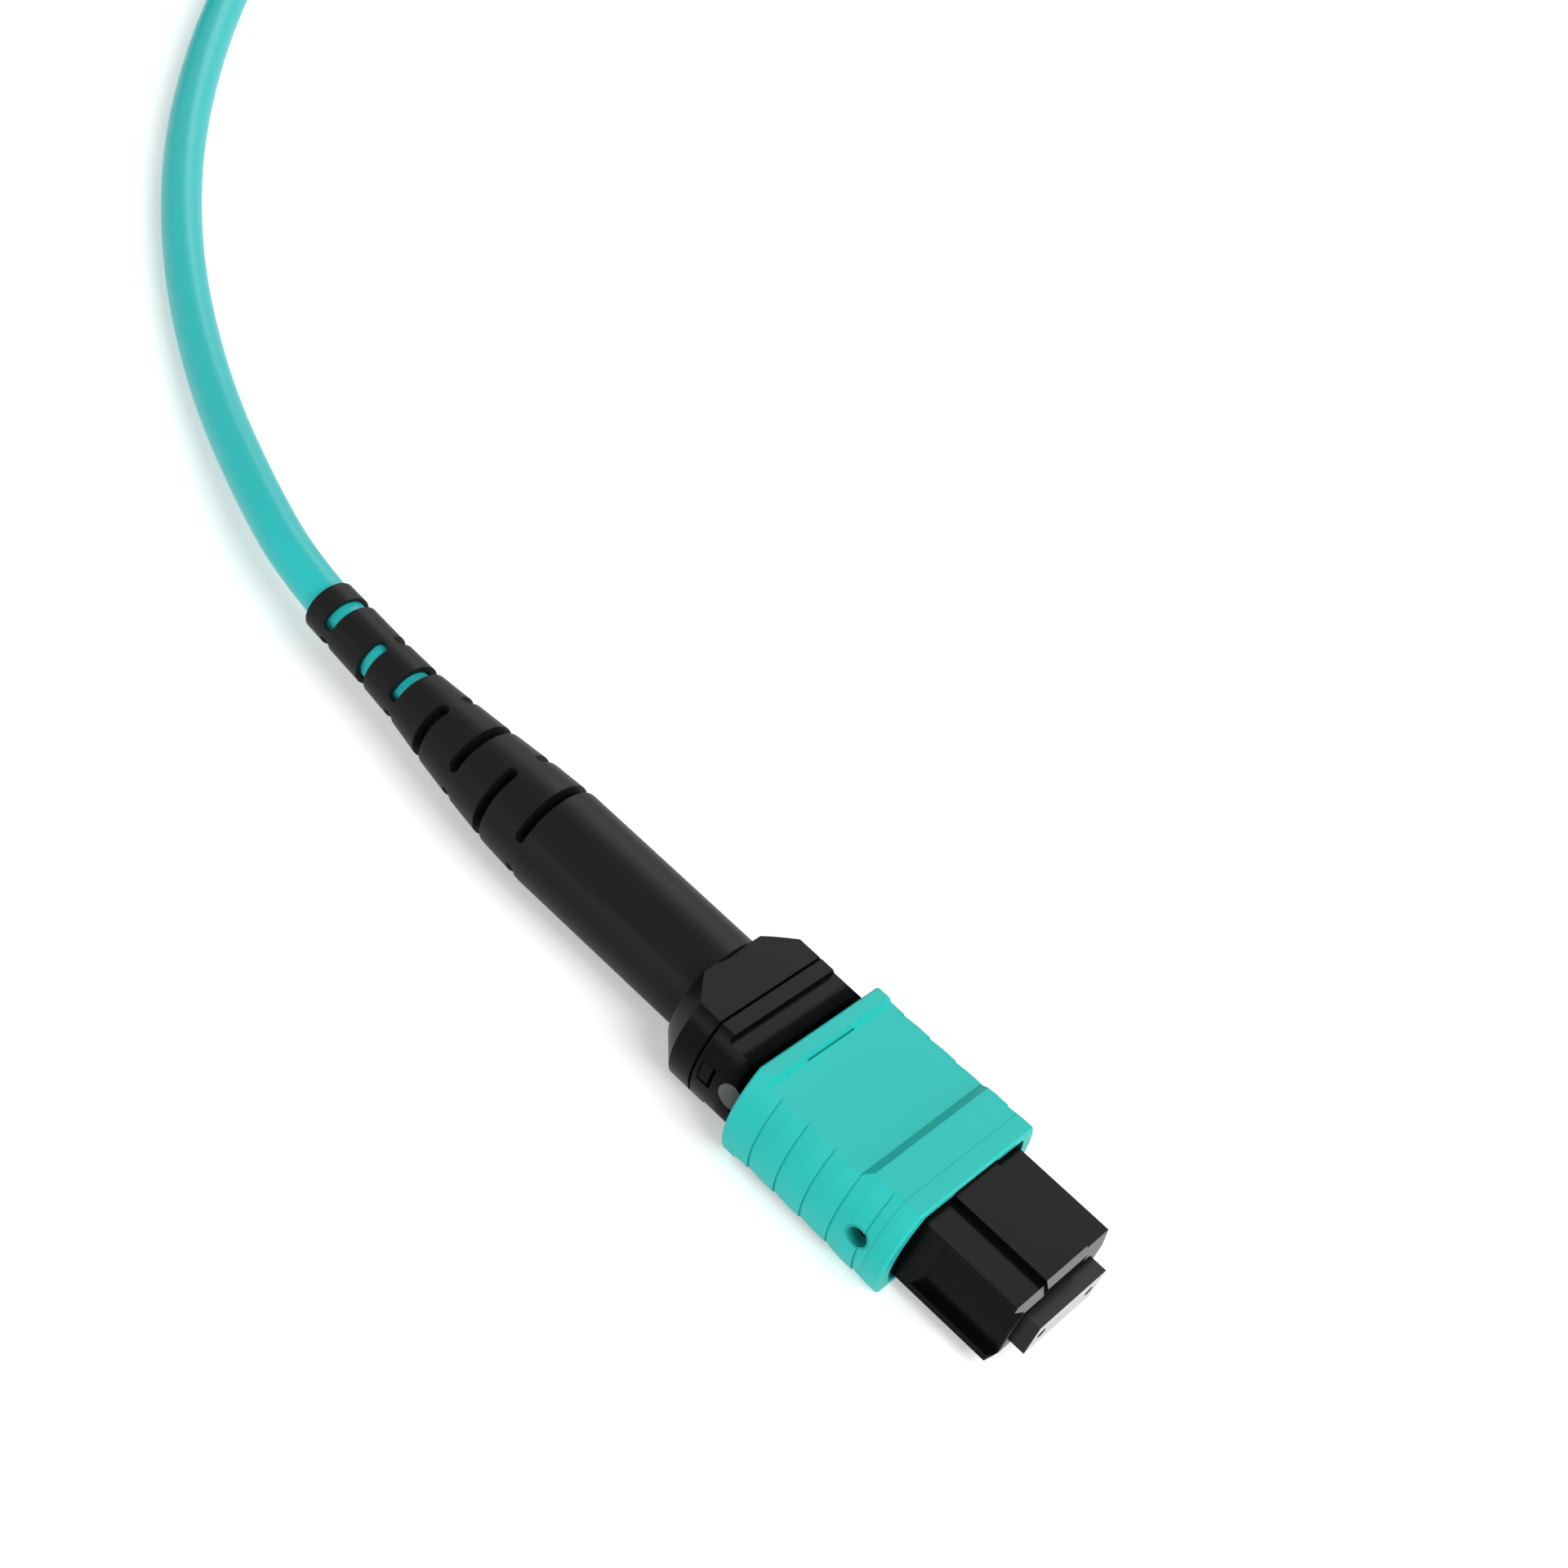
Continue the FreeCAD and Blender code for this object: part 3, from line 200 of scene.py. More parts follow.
def math_node(tree, operation, a, b=None):
    """One sum of numbers or sockets."""
    node = tree.nodes.new("ShaderNodeMath")
    node.operation = operation
    for place, value in ((0, a), (1, b)):
        if value is None:
            continue
        if isinstance(value, (int, float)):
            node.inputs[place].default_value = value
        else:
            tree.links.new(value, node.inputs[place])
    return node.outputs[0]


def mix_colour(tree, share, a, b):
    """A share of colour b laid over colour a."""
    node = tree.nodes.new("ShaderNodeMix")
    node.data_type = "RGBA"
    for place, value in ((0, share), (6, a), (7, b)):
        if isinstance(value, bpy.types.NodeSocket):
            tree.links.new(value, node.inputs[place])
        elif place == 0:
            node.inputs[0].default_value = value
        else:
            node.inputs[place].default_value = (*value, 1.0)
    return node.outputs[2]


def ramp(tree, value, low, high, to_low=0.0, to_high=1.0):
    """An eased step from one number to another while the value runs from low to high."""
    node = tree.nodes.new("ShaderNodeMapRange")
    node.interpolation_type = "SMOOTHSTEP"
    tree.links.new(value, node.inputs["Value"])
    node.inputs["From Min"].default_value = low
    node.inputs["From Max"].default_value = high
    node.inputs["To Min"].default_value = to_low
    node.inputs["To Max"].default_value = to_high
    return node.outputs["Result"]


def own_place(tree):
    """Where a point lies on the resting piece, as three numbers in metres."""
    where = tree.nodes.new("ShaderNodeTexCoord")
    apart = tree.nodes.new("ShaderNodeSeparateXYZ")
    tree.links.new(where.outputs["Object"], apart.inputs[0])
    return where.outputs["Object"], apart.outputs


def own_facing(tree):
    """Which way the surface faces on the piece itself, as three numbers."""
    where = tree.nodes.new("ShaderNodeTexCoord")
    apart = tree.nodes.new("ShaderNodeSeparateXYZ")
    tree.links.new(where.outputs["Normal"], apart.inputs[0])
    return apart.outputs


def behind(station):
    """The X of a station."""
    return FACE_X - station * MM


def side_reach(tree, place, station):
    """How far a point of the plug's side is from its middle line at one station."""
    along = math_node(tree, "SUBTRACT", place["X"], behind(station))
    above = math_node(tree, "SUBTRACT", place["Z"], AXIS_Z)
    along = math_node(tree, "MULTIPLY", along, along)
    above = math_node(tree, "MULTIPLY", above, above)
    return math_node(tree, "SQRT", math_node(tree, "ADD", along, above))


def hairline(tree, along, station, half_width):
    """A mask of the thin line round a piece at one station."""
    apart = math_node(tree, "ABSOLUTE", math_node(tree, "SUBTRACT", along, behind(station)))
    return ramp(tree, apart, half_width * 0.6, half_width * 1.4, 1.0, 0.0)


def seen_directly(tree):
    """One for rays from the camera, off a gloss or through glass, and nought for the others."""
    path = tree.nodes.new("ShaderNodeLightPath")
    seen = math_node(tree, "MAXIMUM", path.outputs["Is Camera Ray"], path.outputs["Is Glossy Ray"])
    return math_node(tree, "MAXIMUM", seen, path.outputs["Is Transmission Ray"])


def noise(tree, where, scale, detail=3.0):
    """Soft noise from nought to one."""
    node = tree.nodes.new("ShaderNodeTexNoise")
    tree.links.new(where, node.inputs["Vector"])
    if isinstance(scale, (int, float)):
        node.inputs["Scale"].default_value = scale
    else:
        tree.links.new(scale, node.inputs["Scale"])
    node.inputs["Detail"].default_value = detail
    return node.outputs["Fac"]


def grain_group():
    """Fine spark-eroded grain of a moulding: shade, roughness and height that vary."""
    group, inside, out = new_group(
        "moulded_grain",
        [
            ("Colour", "NodeSocketColor", (0.5, 0.5, 0.5, 1.0)),
            ("Scale", "NodeSocketFloat", 9000.0),
            ("Mottle", "NodeSocketFloat", 0.05),
            ("Roughness", "NodeSocketFloat", 0.45),
            ("Spread", "NodeSocketFloat", 0.08),
        ],
        [
            ("Colour", "NodeSocketColor"),
            ("Roughness", "NodeSocketFloat"),
            ("Height", "NodeSocketFloat"),
        ],
    )
    where, _ = own_place(group)
    fine = noise(group, where, inside.outputs["Scale"], 4.0)
    broad = noise(group, where, 420.0, 2.0)
    shade = math_node(group, "SUBTRACT", math_node(group, "ADD", fine, broad), 1.0)
    shade = math_node(group, "MULTIPLY", shade, inside.outputs["Mottle"])
    factor = math_node(group, "ADD", shade, 1.0)
    scaled = group.nodes.new("ShaderNodeVectorMath")
    scaled.operation = "SCALE"
    group.links.new(inside.outputs["Colour"], scaled.inputs[0])
    group.links.new(factor, scaled.inputs["Scale"])
    group.links.new(scaled.outputs[0], out.inputs["Colour"])
    drift = math_node(group, "SUBTRACT", broad, 0.5)
    drift = math_node(group, "MULTIPLY", drift, inside.outputs["Spread"])
    rough = math_node(group, "ADD", drift, inside.outputs["Roughness"])
    group.links.new(rough, out.inputs["Roughness"])
    group.links.new(fine, out.inputs["Height"])
    return group


def wear_group():
    """Handling wear: a mask of the outward edges, broken up by noise."""
    group, inside, out = new_group(
        "edge_wear",
        [("Start", "NodeSocketFloat", 0.52), ("Amount", "NodeSocketFloat", 0.4)],
        [("Mask", "NodeSocketFloat")],
    )
    where, _ = own_place(group)
    shape = group.nodes.new("ShaderNodeNewGeometry")
    above = math_node(group, "SUBTRACT", shape.outputs["Pointiness"], inside.outputs["Start"])
    edge = math_node(group, "MULTIPLY", above, 9.0)
    broken = math_node(group, "MULTIPLY", edge, ramp(group, noise(group, where, 900.0), 0.35, 0.65))
    held = group.nodes.new("ShaderNodeClamp")
    group.links.new(broken, held.inputs["Value"])
    mask = math_node(group, "MULTIPLY", held.outputs[0], inside.outputs["Amount"])
    group.links.new(mask, out.inputs["Mask"])
    return group


def use_group(tree, name, **values):
    """A shared effect in a material, with its sockets linked or set."""
    node = tree.nodes.new("ShaderNodeGroup")
    node.node_tree = bpy.data.node_groups[name]
    for label, value in values.items():
        socket = node.inputs[label.replace("_", " ")]
        if isinstance(value, bpy.types.NodeSocket):
            tree.links.new(value, socket)
        elif hasattr(value, "__len__"):
            socket.default_value = (*value[:3], 1.0)
        else:
            socket.default_value = value
    return node.outputs


def new_material(name):
    """A material, its tree and its shader."""
    material = bpy.data.materials.new(name)
    material.use_nodes = True
    tree = material.node_tree
    return material, tree, tree.nodes["Principled BSDF"]


def bump(tree, shader, height, depth, strength=0.5):
    """Raise the shader's surface by a height from nought to one, times the depth."""
    node = tree.nodes.new("ShaderNodeBump")
    node.inputs["Strength"].default_value = strength
    node.inputs["Distance"].default_value = depth
    tree.links.new(height, node.inputs["Height"])
    tree.links.new(node.outputs[0], shader.inputs["Normal"])


def moulded(name, colour, roughness, mottle=0.04, spread=0.1, wear=0.2, gloss=0.5):
    """A moulded plastic or rubber: grain, drifting gloss and paler worn edges."""
    material, tree, shader = new_material(name)
    shader.inputs["Specular IOR Level"].default_value = gloss
    grain = use_group(
        tree, "moulded_grain", Colour=colour, Mottle=mottle, Roughness=roughness, Spread=spread
    )
    mask = use_group(tree, "edge_wear", Amount=wear)["Mask"]
    paler = tuple(min(1.0, part * 1.5 + 0.01) for part in colour)
    painted = mix_colour(tree, mask, grain["Colour"], paler)
    tree.links.new(painted, shader.inputs["Base Color"])
    tree.links.new(grain["Roughness"], shader.inputs["Roughness"])
    bump(tree, shader, grain["Height"], 0.003 * MM)
    return material, tree, shader, painted


def finish_solid(node, material):
    """Give a carried-over solid its finish."""
    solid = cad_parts[node]
    solid.data.materials.clear()
    solid.data.materials.append(material)
    return solid


def placed(name, mesh, material):
    """A new object of this mesh and finish, which rides nothing yet."""
    mesh.materials.clear()
    mesh.materials.append(material)
    piece = bpy.data.objects.new(name, mesh)
    bpy.context.scene.collection.objects.link(piece)
    return piece


def new_piece(name, mesh, material):
    """A new piece that rides with the housing."""
    piece = placed(name, mesh, material)
    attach(piece, "housing")
    return piece


def opened(node):
    """A solid's mesh, opened for editing as a copy; the solid stays as it is."""
    mesh = bmesh.new()
    mesh.from_mesh(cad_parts[node].data)
    return mesh


def closed(name, mesh):
    """The edited mesh as a new one."""
    made = bpy.data.meshes.new(name)
    mesh.to_mesh(made)
    mesh.free()
    return made


def forget_normals(mesh):
    """Drop the shading that the solid came with, so that smooth() can shade it anew."""
    if "custom_normal" in mesh.attributes:
        mesh.attributes.remove(mesh.attributes["custom_normal"])
    return mesh


def everything(mesh):
    """All the parts of an opened mesh, as a cut asks for them."""
    return mesh.verts[:] + mesh.edges[:] + mesh.faces[:]


def smooth(solid, degrees=21):
    """Shade the curved faces evenly and keep the corners sharp."""
    mesh = solid.data
    mesh.shade_smooth()
    mesh.set_sharp_from_angle(angle=math.radians(degrees))
    return solid


# ---------------------------------------------------------------- stage


class CONNECTOR_OT_stage(bpy.types.Operator):
    """Pale floor, soft light panels and the camera"""

    bl_idname = "connector.stage"
    bl_label = "Set the stage"

    def execute(self, context):
        scene = context.scene
        settings = scene.connector_stage
        scene.view_settings.view_transform = "Standard"
        lay_floor(settings.floor_size)
        hang_lights(settings.key_power)
        light_world()
        set_camera(settings.lens)
        return {"FINISHED"}


def lay_floor(side):
    """A pale floor that glows a little to the camera, so that it runs out into the backdrop."""
    half = side / 2
    corners = [(-half, -half, 0), (half, -half, 0), (half, half, 0), (-half, half, 0)]
    mesh = bpy.data.meshes.new("floor")
    mesh.from_pydata(corners, [], [(0, 1, 2, 3)])
    floor = bpy.data.objects.new("floor", mesh)
    bpy.context.scene.collection.objects.link(floor)
    material = bpy.data.materials.new("pale_floor")
    material.use_nodes = True
    tree = material.node_tree
    tree.nodes.clear()
    diffuse = tree.nodes.new("ShaderNodeBsdfDiffuse")
    diffuse.inputs["Color"].default_value = (0.86, 0.86, 0.86, 1)
    glow = tree.nodes.new("ShaderNodeEmission")
    tree.links.new(math_node(tree, "MULTIPLY", seen_directly(tree), 0.42), glow.inputs["Strength"])
    added = tree.nodes.new("ShaderNodeAddShader")
    out = tree.nodes.new("ShaderNodeOutputMaterial")
    tree.links.new(diffuse.outputs[0], added.inputs[0])
    tree.links.new(glow.outputs[0], added.inputs[1])
    tree.links.new(added.outputs[0], out.inputs["Surface"])
    mesh.materials.append(material)


# The light panels: name, place and size in metres, power in watts. Each faces the frame's middle.
PANELS = [
    ("key_panel", (0.62, -0.10, 0.80), (0.60, 0.60), 6.9),
    ("back_panel", (-0.32, 0.68, 0.66), (0.60, 0.60), 4.4),
    ("left_panel", (0.62, 0.62, 0.16), (0.40, 0.24), 1.2),
    ("front_panel", (0.85, -0.35, 0.35), (0.50, 0.40), 1.0),
    ("right_panel", (-0.10, -0.90, 0.08), (0.90, 0.14), 2.4),
]


def hang_lights(power):
    """The light panels, each at its own power times the given one."""
    for name, place, reach, watts in PANELS:
        lamp = bpy.data.lights.new(name, "AREA")
        lamp.shape = "RECTANGLE"
        lamp.size, lamp.size_y = reach
        lamp.energy = watts * power
        panel = bpy.data.objects.new(name, lamp)
        panel.location = place
        panel.rotation_euler = (-Vector(place)).to_track_quat("-Z", "Y").to_euler()
        # the back panel only gives the black mouldings' tops their sheen
        panel.visible_diffuse = name != "back_panel"
        bpy.context.scene.collection.objects.link(panel)


def light_world():
    """A white backdrop that lights the piece less than it shows."""
    world = bpy.data.worlds.new("studio")
    bpy.context.scene.world = world
    world.use_nodes = True
    tree = world.node_tree
    back = tree.nodes["Background"]
    back.inputs["Color"].default_value = (1, 1, 1, 1)
    tree.links.new(ramp(tree, seen_directly(tree), 0.0, 1.0, 0.30, 1.0), back.inputs["Strength"])


def set_camera(lens):
    """The camera, by which way its right, down and ahead point, and by its place."""
    lens_data = bpy.data.cameras.new("camera")
    lens_data.lens = lens
    lens_data.sensor_width = 36.0
    lens_data.clip_start = 0.01
    camera = bpy.data.objects.new("camera", lens_data)
    right = Vector((0.70839117, 0.63429699, 0.30959536))
    down = Vector((0.62669516, -0.36345186, -0.68931555))
    ahead = Vector((-0.32470777, 0.68232696, -0.65497694))
    turned = Matrix((right, -down, -ahead)).transposed()
    camera.matrix_world = Matrix.Translation(Vector((49.52, -97.79, 113.40)) * MM) @ turned.to_4x4()
    bpy.context.scene.collection.objects.link(camera)
    bpy.context.scene.camera = camera


# ---------------------------------------------------------------- the connector's pieces


class CONNECTOR_OT_housing(bpy.types.Operator):
    """Black nose of the plug, with the dot that marks fibre one"""

    bl_idname = "connector.housing"
    bl_label = "Finish the housing"

    def execute(self, context):
        material, tree, shader, painted = moulded(
            "housing_black", colours().housing, 0.22, wear=0.0, gloss=0.045
        )
        _, place = own_place(tree)
        # painted shade on the waist, darkest under the slider's rear
        painted = mix_colour(tree, waist_shade_mask(tree, place), painted, WAIST_PAINTED_SHADE)
        painted = mix_colour(tree, dot_mask(tree, place), painted, DOT_GREY)
        # a painted highlight on the nose's front bevel
        painted = mix_colour(tree, bevel_highlight_mask(tree, place), painted, BEVEL_HIGHLIGHT)
        shade_joint(tree, shader, painted, place["X"])
        hollow_waist(tree, shader, place["X"])
        nose = smooth(new_piece("keyed_housing", keyed_nose(), material))
        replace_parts(nose, "plug_housing")
        return {"FINISHED"}


def waist_shade_mask(tree, place):
    """The painted shade on the waist, deep at the slider's rear and gone where the hollow begins."""
    shade = ramp(tree, place["X"], behind(WAIST_OPEN), behind(WAIST_DARK))
    covered = ramp(tree, place["X"], behind(WAIST_COVERED), behind(WAIST_COVERED - 0.1), 1.0, 0.0)
    return math_node(tree, "MULTIPLY", shade, covered)


def dot_mask(tree, place):
    """The round dot on the right side, which marks fibre one."""
    reach, radius = side_reach(tree, place, DOT_STATION), sizes().dot_radius
    dot = ramp(tree, reach, radius - 0.02 * MM, radius + 0.02 * MM, 1.0, 0.0)
    return math_node(tree, "MULTIPLY", dot, ramp(tree, place["Y"], -4.2 * MM, -4.4 * MM))


def bevel_highlight_mask(tree, place):
    """The nose's front bevel above the ferrule, painted pale as a highlight."""
    ahead = own_facing(tree)["X"]
    bevel = math_node(tree, "MULTIPLY", ramp(tree, ahead, 0.3, 0.4), ramp(tree, ahead, 0.99, 0.95))
    front = ramp(tree, place["X"], behind(1.9), behind(1.75))
    upper = ramp(tree, place["Z"], AXIS_Z + 1.85 * MM, AXIS_Z + 1.95 * MM)
    return math_node(tree, "MULTIPLY", math_node(tree, "MULTIPLY", bevel, front), upper)


def hollow_waist(tree, shader, along):
    """Tilt the waist's shading, as if it fell away towards the slider ever more steeply."""
    ahead = math_node(tree, "SUBTRACT", along, behind(WAIST_OPEN))
    ahead = math_node(tree, "MINIMUM", math_node(tree, "MAXIMUM", ahead, 0.0), HOLLOW_RUN * MM)
    fall = math_node(tree, "MULTIPLY", math_node(tree, "MULTIPLY", ahead, ahead), -HOLLOW_CURVE)
    tilt = tree.nodes.new("ShaderNodeBump")
    tilt.inputs["Strength"].default_value = 1.0
    tilt.inputs["Distance"].default_value = 1.0
    tree.links.new(fall, tilt.inputs["Height"])
    tree.links.new(shader.inputs["Normal"].links[0].from_socket, tilt.inputs["Normal"])
    tree.links.new(tilt.outputs["Normal"], shader.inputs["Normal"])


def keyed_nose():
    """The housing's mesh with a sharp step to the waist and the key's front bevelled right across."""
    mesh = opened("plug_housing")
    back = behind(NOSE_FRONT + BEVEL_RUN + 0.01)
    for corner in mesh.verts:
        x, y, z = corner.co
        if abs(FACE_X - x - WAIST_FOOT * MM) < 0.01 * MM:
            corner.co.x = behind(WAIST_STEP - 0.01)
        if x < back or z < AXIS_Z + 1.8 * MM or abs(abs(y) - KEY_TIP * MM) > 0.01 * MM:
            continue
        corner.co.y = math.copysign(KEY_HALF * MM, y)
    bmesh.ops.remove_doubles(mesh, verts=mesh.verts, dist=WELD)
    bmesh.ops.dissolve_degenerate(mesh, dist=WELD, edges=mesh.edges)
    cut = bmesh.ops.bisect_plane(
        mesh,
        geom=everything(mesh),
        plane_co=(behind(NOSE_FRONT + BEVEL_RUN), 0, AXIS_Z + KEY_TOP * MM),
        plane_no=(BEVEL_FALL, 0, BEVEL_RUN),
        clear_outer=True,
    )
    rim = [item for item in cut["geom_cut"] if isinstance(item, bmesh.types.BMEdge)]
    bmesh.ops.edgenet_fill(mesh, edges=[item for item in rim if item.is_boundary])
    return forget_normals(closed("keyed_housing", mesh))


def shade_joint(tree, shader, painted, along):
    """Grime in the joint between the housing and the moulding behind it."""
    joint = hairline(tree, along, JOINT_STATION, 0.1 * MM)
    tree.links.new(mix_colour(tree, joint, painted, (0.0, 0.0, 0.0)), shader.inputs["Base Color"])
    dull = math_node(tree, "MULTIPLY", joint, 0.6)
    rough = shader.inputs["Roughness"].links[0].from_socket
    tree.links.new(math_node(tree, "ADD", rough, dull), shader.inputs["Roughness"])


class CONNECTOR_OT_slider(bpy.types.Operator):
    """Aqua sleeve that slides back to unlatch"""

    bl_idname = "connector.slider"
    bl_label = "Finish the slider"

    def execute(self, context):
        material, tree, shader, painted = moulded(
            "slider_aqua", colours().slider, 0.40, mottle=0.025, wear=0.0, gloss=0.10
        )
        _, place = own_place(tree)
        # painted shade in the slider's lines, slit and round its side hole
        painted = mix_colour(tree, slider_shade_lines(tree, place), painted, SHADE_LINE_AQUA)
        tree.links.new(painted, shader.inputs["Base Color"])
        smooth(finish_solid("coupling_slider", material))
        return {"FINISHED"}


def slider_shade_lines(tree, place):
    """A mask of painted shade along the slider's rim line, grip lines and slit, and in a ring round its
    side hole.
    """
    aside = math_node(tree, "ABSOLUTE", place["Y"])
    sides = ramp(tree, aside, 5.25 * MM, 5.4 * MM)
    middle = ramp(tree, aside, 2.05 * MM, 2.12 * MM, 1.0, 0.0)
    lines = math_node(tree, "MULTIPLY", hairline(tree, place["X"], RIM_LINE, 0.03 * MM), 0.35)
    for number in range(GRIP_LINES):
        line = hairline(tree, place["X"], GRIP_FIRST + GRIP_STEP * number, 0.022 * MM)
        line = math_node(tree, "MULTIPLY", math_node(tree, "MULTIPLY", line, sides), 0.55)
        lines = math_node(tree, "MAXIMUM", lines, line)
    slit = math_node(tree, "MULTIPLY", hairline(tree, place["X"], SLIT_LINE, 0.045 * MM), 0.85)
    lines = math_node(tree, "MAXIMUM", lines, math_node(tree, "MULTIPLY", slit, middle))
    ring = ramp(tree, side_reach(tree, place, SIDE_HOLE), 0.80 * MM, 0.86 * MM, 0.4, 0.0)
    return math_node(tree, "MAXIMUM", lines, math_node(tree, "MULTIPLY", ring, sides))


class CONNECTOR_OT_ferrule(bpy.types.Operator):
    """Filled resin ferrule with its polished face, fibres, soft boot and metal keeper"""

    bl_idname = "connector.ferrule"
    bl_label = "Finish the ferrule"

    def execute(self, context):
        material, tree, shader, painted = moulded(
            "ferrule_resin", colours().ferrule, 0.35, wear=0.0, gloss=0.12
        )
        _, place = own_place(tree)
        # the polished end painted pale, a painted highlight for its glare
        front = ramp(tree, place["X"], behind(0.06), behind(0.02))
        front = math_node(tree, "MULTIPLY", front, ramp(tree, own_facing(tree)["X"], 0.7, 0.9))
        painted = mix_colour(tree, front, painted, colours().ferrule_face_highlight)
        tree.links.new(painted, shader.inputs["Base Color"])
        smooth(finish_solid("ferrule", material))
        glass = moulded("fibre_glass", (0.16, 0.18, 0.19), 0.15, wear=0.0)[0]
        smooth(finish_solid("ferrule_fibres", glass))
        soft = moulded("ferrule_boot_rubber", (0.02, 0.02, 0.02), 0.6)[0]
        smooth(finish_solid("ferrule_boot", soft))
        smooth(finish_solid("pin_keeper", brushed_metal("keeper_steel", (0.55, 0.55, 0.53), 0.3)))
        return {"FINISHED"}


def brushed_metal(name, colour, roughness):
    """Bright drawn or stamped metal with faint lines and a drifting gloss."""
    material, tree, shader = new_material(name)
    grain = use_group(
        tree, "moulded_grain", Colour=colour, Mottle=0.08, Roughness=roughness, Spread=0.15
    )
    tree.links.new(grain["Colour"], shader.inputs["Base Color"])
    tree.links.new(grain["Roughness"], shader.inputs["Roughness"])
    shader.inputs["Metallic"].default_value = 1.0
    bump(tree, shader, grain["Height"], 0.006 * MM, 0.3)
    return material


class CONNECTOR_OT_springs(bpy.types.Operator):
    """Steel springs behind the ferrule and beside the body"""

    bl_idname = "connector.springs"
    bl_label = "Finish the springs"

    def execute(self, context):
        steel = brushed_metal("spring_steel", (0.60, 0.60, 0.60), 0.22)
        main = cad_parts["main_spring"].data.copy()
        coil = stretched("ferrule_coil", main, steel)
        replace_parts(coil, "main_spring")
        for side in ("left", "right"):
            node = "coupling_spring_" + side
            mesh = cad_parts[node].data.copy()
            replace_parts(stretched(side + "_coil", mesh, steel), node)
        return {"FINISHED"}


def stretched(name, mesh, material, degrees=50):
    """A new piece of this mesh and finish, shaded smooth up to the given angle, its place set into the
    mesh.
    """
    piece = smooth(placed(name, mesh, material), degrees)
    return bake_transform(piece)


class CONNECTOR_OT_spring_push(bpy.types.Operator):
    """Black rear moulding that clips into the housing behind the springs"""

    bl_idname = "connector.spring_push"
    bl_label = "Finish the barrel"

    def execute(self, context):
        material, tree, shader, painted = moulded(
            "barrel_black", colours().housing, 0.24, wear=0.0, gloss=0.045
        )
        _, place = own_place(tree)
        shade_joint(tree, shader, painted, place["X"])
        smooth(finish_solid("spring_push", material))
        return {"FINISHED"}


class CONNECTOR_OT_crimp(bpy.types.Operator):
    """Crimped metal ring and the yarn that it grips"""

    bl_idname = "connector.crimp"
    bl_label = "Finish the crimp"

    def execute(self, context):
        smooth(finish_solid("crimp_ring", brushed_metal("crimp_brass", (0.62, 0.60, 0.54), 0.3)))
        yarn = moulded("aramid_yarn", (0.62, 0.46, 0.10), 0.7, mottle=0.3, wear=0.0)[0]
        smooth(finish_solid("aramid_yarn", yarn))
        return {"FINISHED"}


class CONNECTOR_OT_fibres(bpy.types.Operator):
    """Ribbon and bundle of fibres inside the plug"""

    bl_idname = "connector.fibres"
    bl_label = "Finish the fibres"

    def execute(self, context):
        coating = moulded("fibre_coating", (0.55, 0.72, 0.72), 0.35, wear=0.0)[0]
        smooth(finish_solid("fibre_bundle", coating))
        # cut across at even steps
        mesh = opened("fibre_ribbon")
        for number in range(RIBBON_CUTS):
            spot = (behind(RIBBON[0] + RIBBON_STEP * number), 0, 0)
            bmesh.ops.bisect_plane(mesh, geom=everything(mesh), plane_co=spot, plane_no=(1, 0, 0))
        made = closed("ribbon", mesh)
        ribbon = stretched("ribbon", made, coating, degrees=21)
        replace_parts(ribbon, "fibre_ribbon")
        return {"FINISHED"}


class CONNECTOR_OT_boot(bpy.types.Operator):
    """Slotted rubber boot round the cable's bend"""

    bl_idname = "connector.boot"
    bl_label = "Finish the boot"

    def execute(self, context):
        # its corners are joined, so that the rings shade as round and not as flats
        rubber = moulded("boot_rubber", colours().boot, 0.42, mottle=0.08, wear=0.0, gloss=0.09)[0]
        mesh = opened("strain_relief_boot")
        bmesh.ops.remove_doubles(mesh, verts=mesh.verts, dist=WELD)
        made = forget_normals(closed("slotted_boot", mesh))
        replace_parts(smooth(new_piece("slotted_boot", made, rubber), 28), "strain_relief_boot")
        return {"FINISHED"}


# ---------------------------------------------------------------- cable

# Where the cable's middle runs from the crimp to the coil: distance behind the ferrule's
# face, to the left, above the surface, in millimetres.
ROUTE = [
    (34.5, 0.0, 3.62),
    (47.5, 0.0, 3.62),
    (66.0, 1.53, 3.62),
    (75.0, 4.9, 3.0),
    (85.8, 10.15, 1.95),
    (97.5, 17.3, 1.54),
    (108.6, 26.0, 1.56),
    (118.9, 36.3, 1.53),
    (128.2, 47.4, 1.55),
    (139.33, 62.17, 2.0),
]
# The length that comes off the coil: degrees round its middle, reach, height.
TAIL = [
    (170.0, 21.0, 5.0),
    (185.0, 22.4, 4.3),
    (200.0, 24.6, 2.8),
    (214.0, 25.6, 1.7),
    (228.0, 26.6, 1.56),
]
# The winding's middle, in the frame.
COIL_MIDDLE = (-124.32, 49.49)
# The winding, in degrees run round its middle: its first and last, where a turn begins to cross
# to the next one inwards, up, and outwards, how long each crossing takes, and points a turn.
WINDING = (37.0, 2690.0)
CROSSINGS_IN = (336.0, 696.0, 1056.0)
CROSSING_UP = 1356.0
CROSSINGS_OUT = (1656.0, 2016.0, 2376.0)
CROSSING_RUN = 60.0
TURN_STEPS = 24
# The winding's outermost reach, its lower layer's height, the pitch from turn to turn, and the
# room left between it and its strap.
OUTER_REACH = 21.0
LOW_HEIGHT = 2.0
TURN_PITCH = 3.0
STRAP_GAP = 0.06


def eased(value, low, high):
    """From 0 at low to 1 at high, level at both ends."""
    share = min(1.0, max(0.0, (value - low) / (high - low)))
    return share * share * (3 - 2 * share)


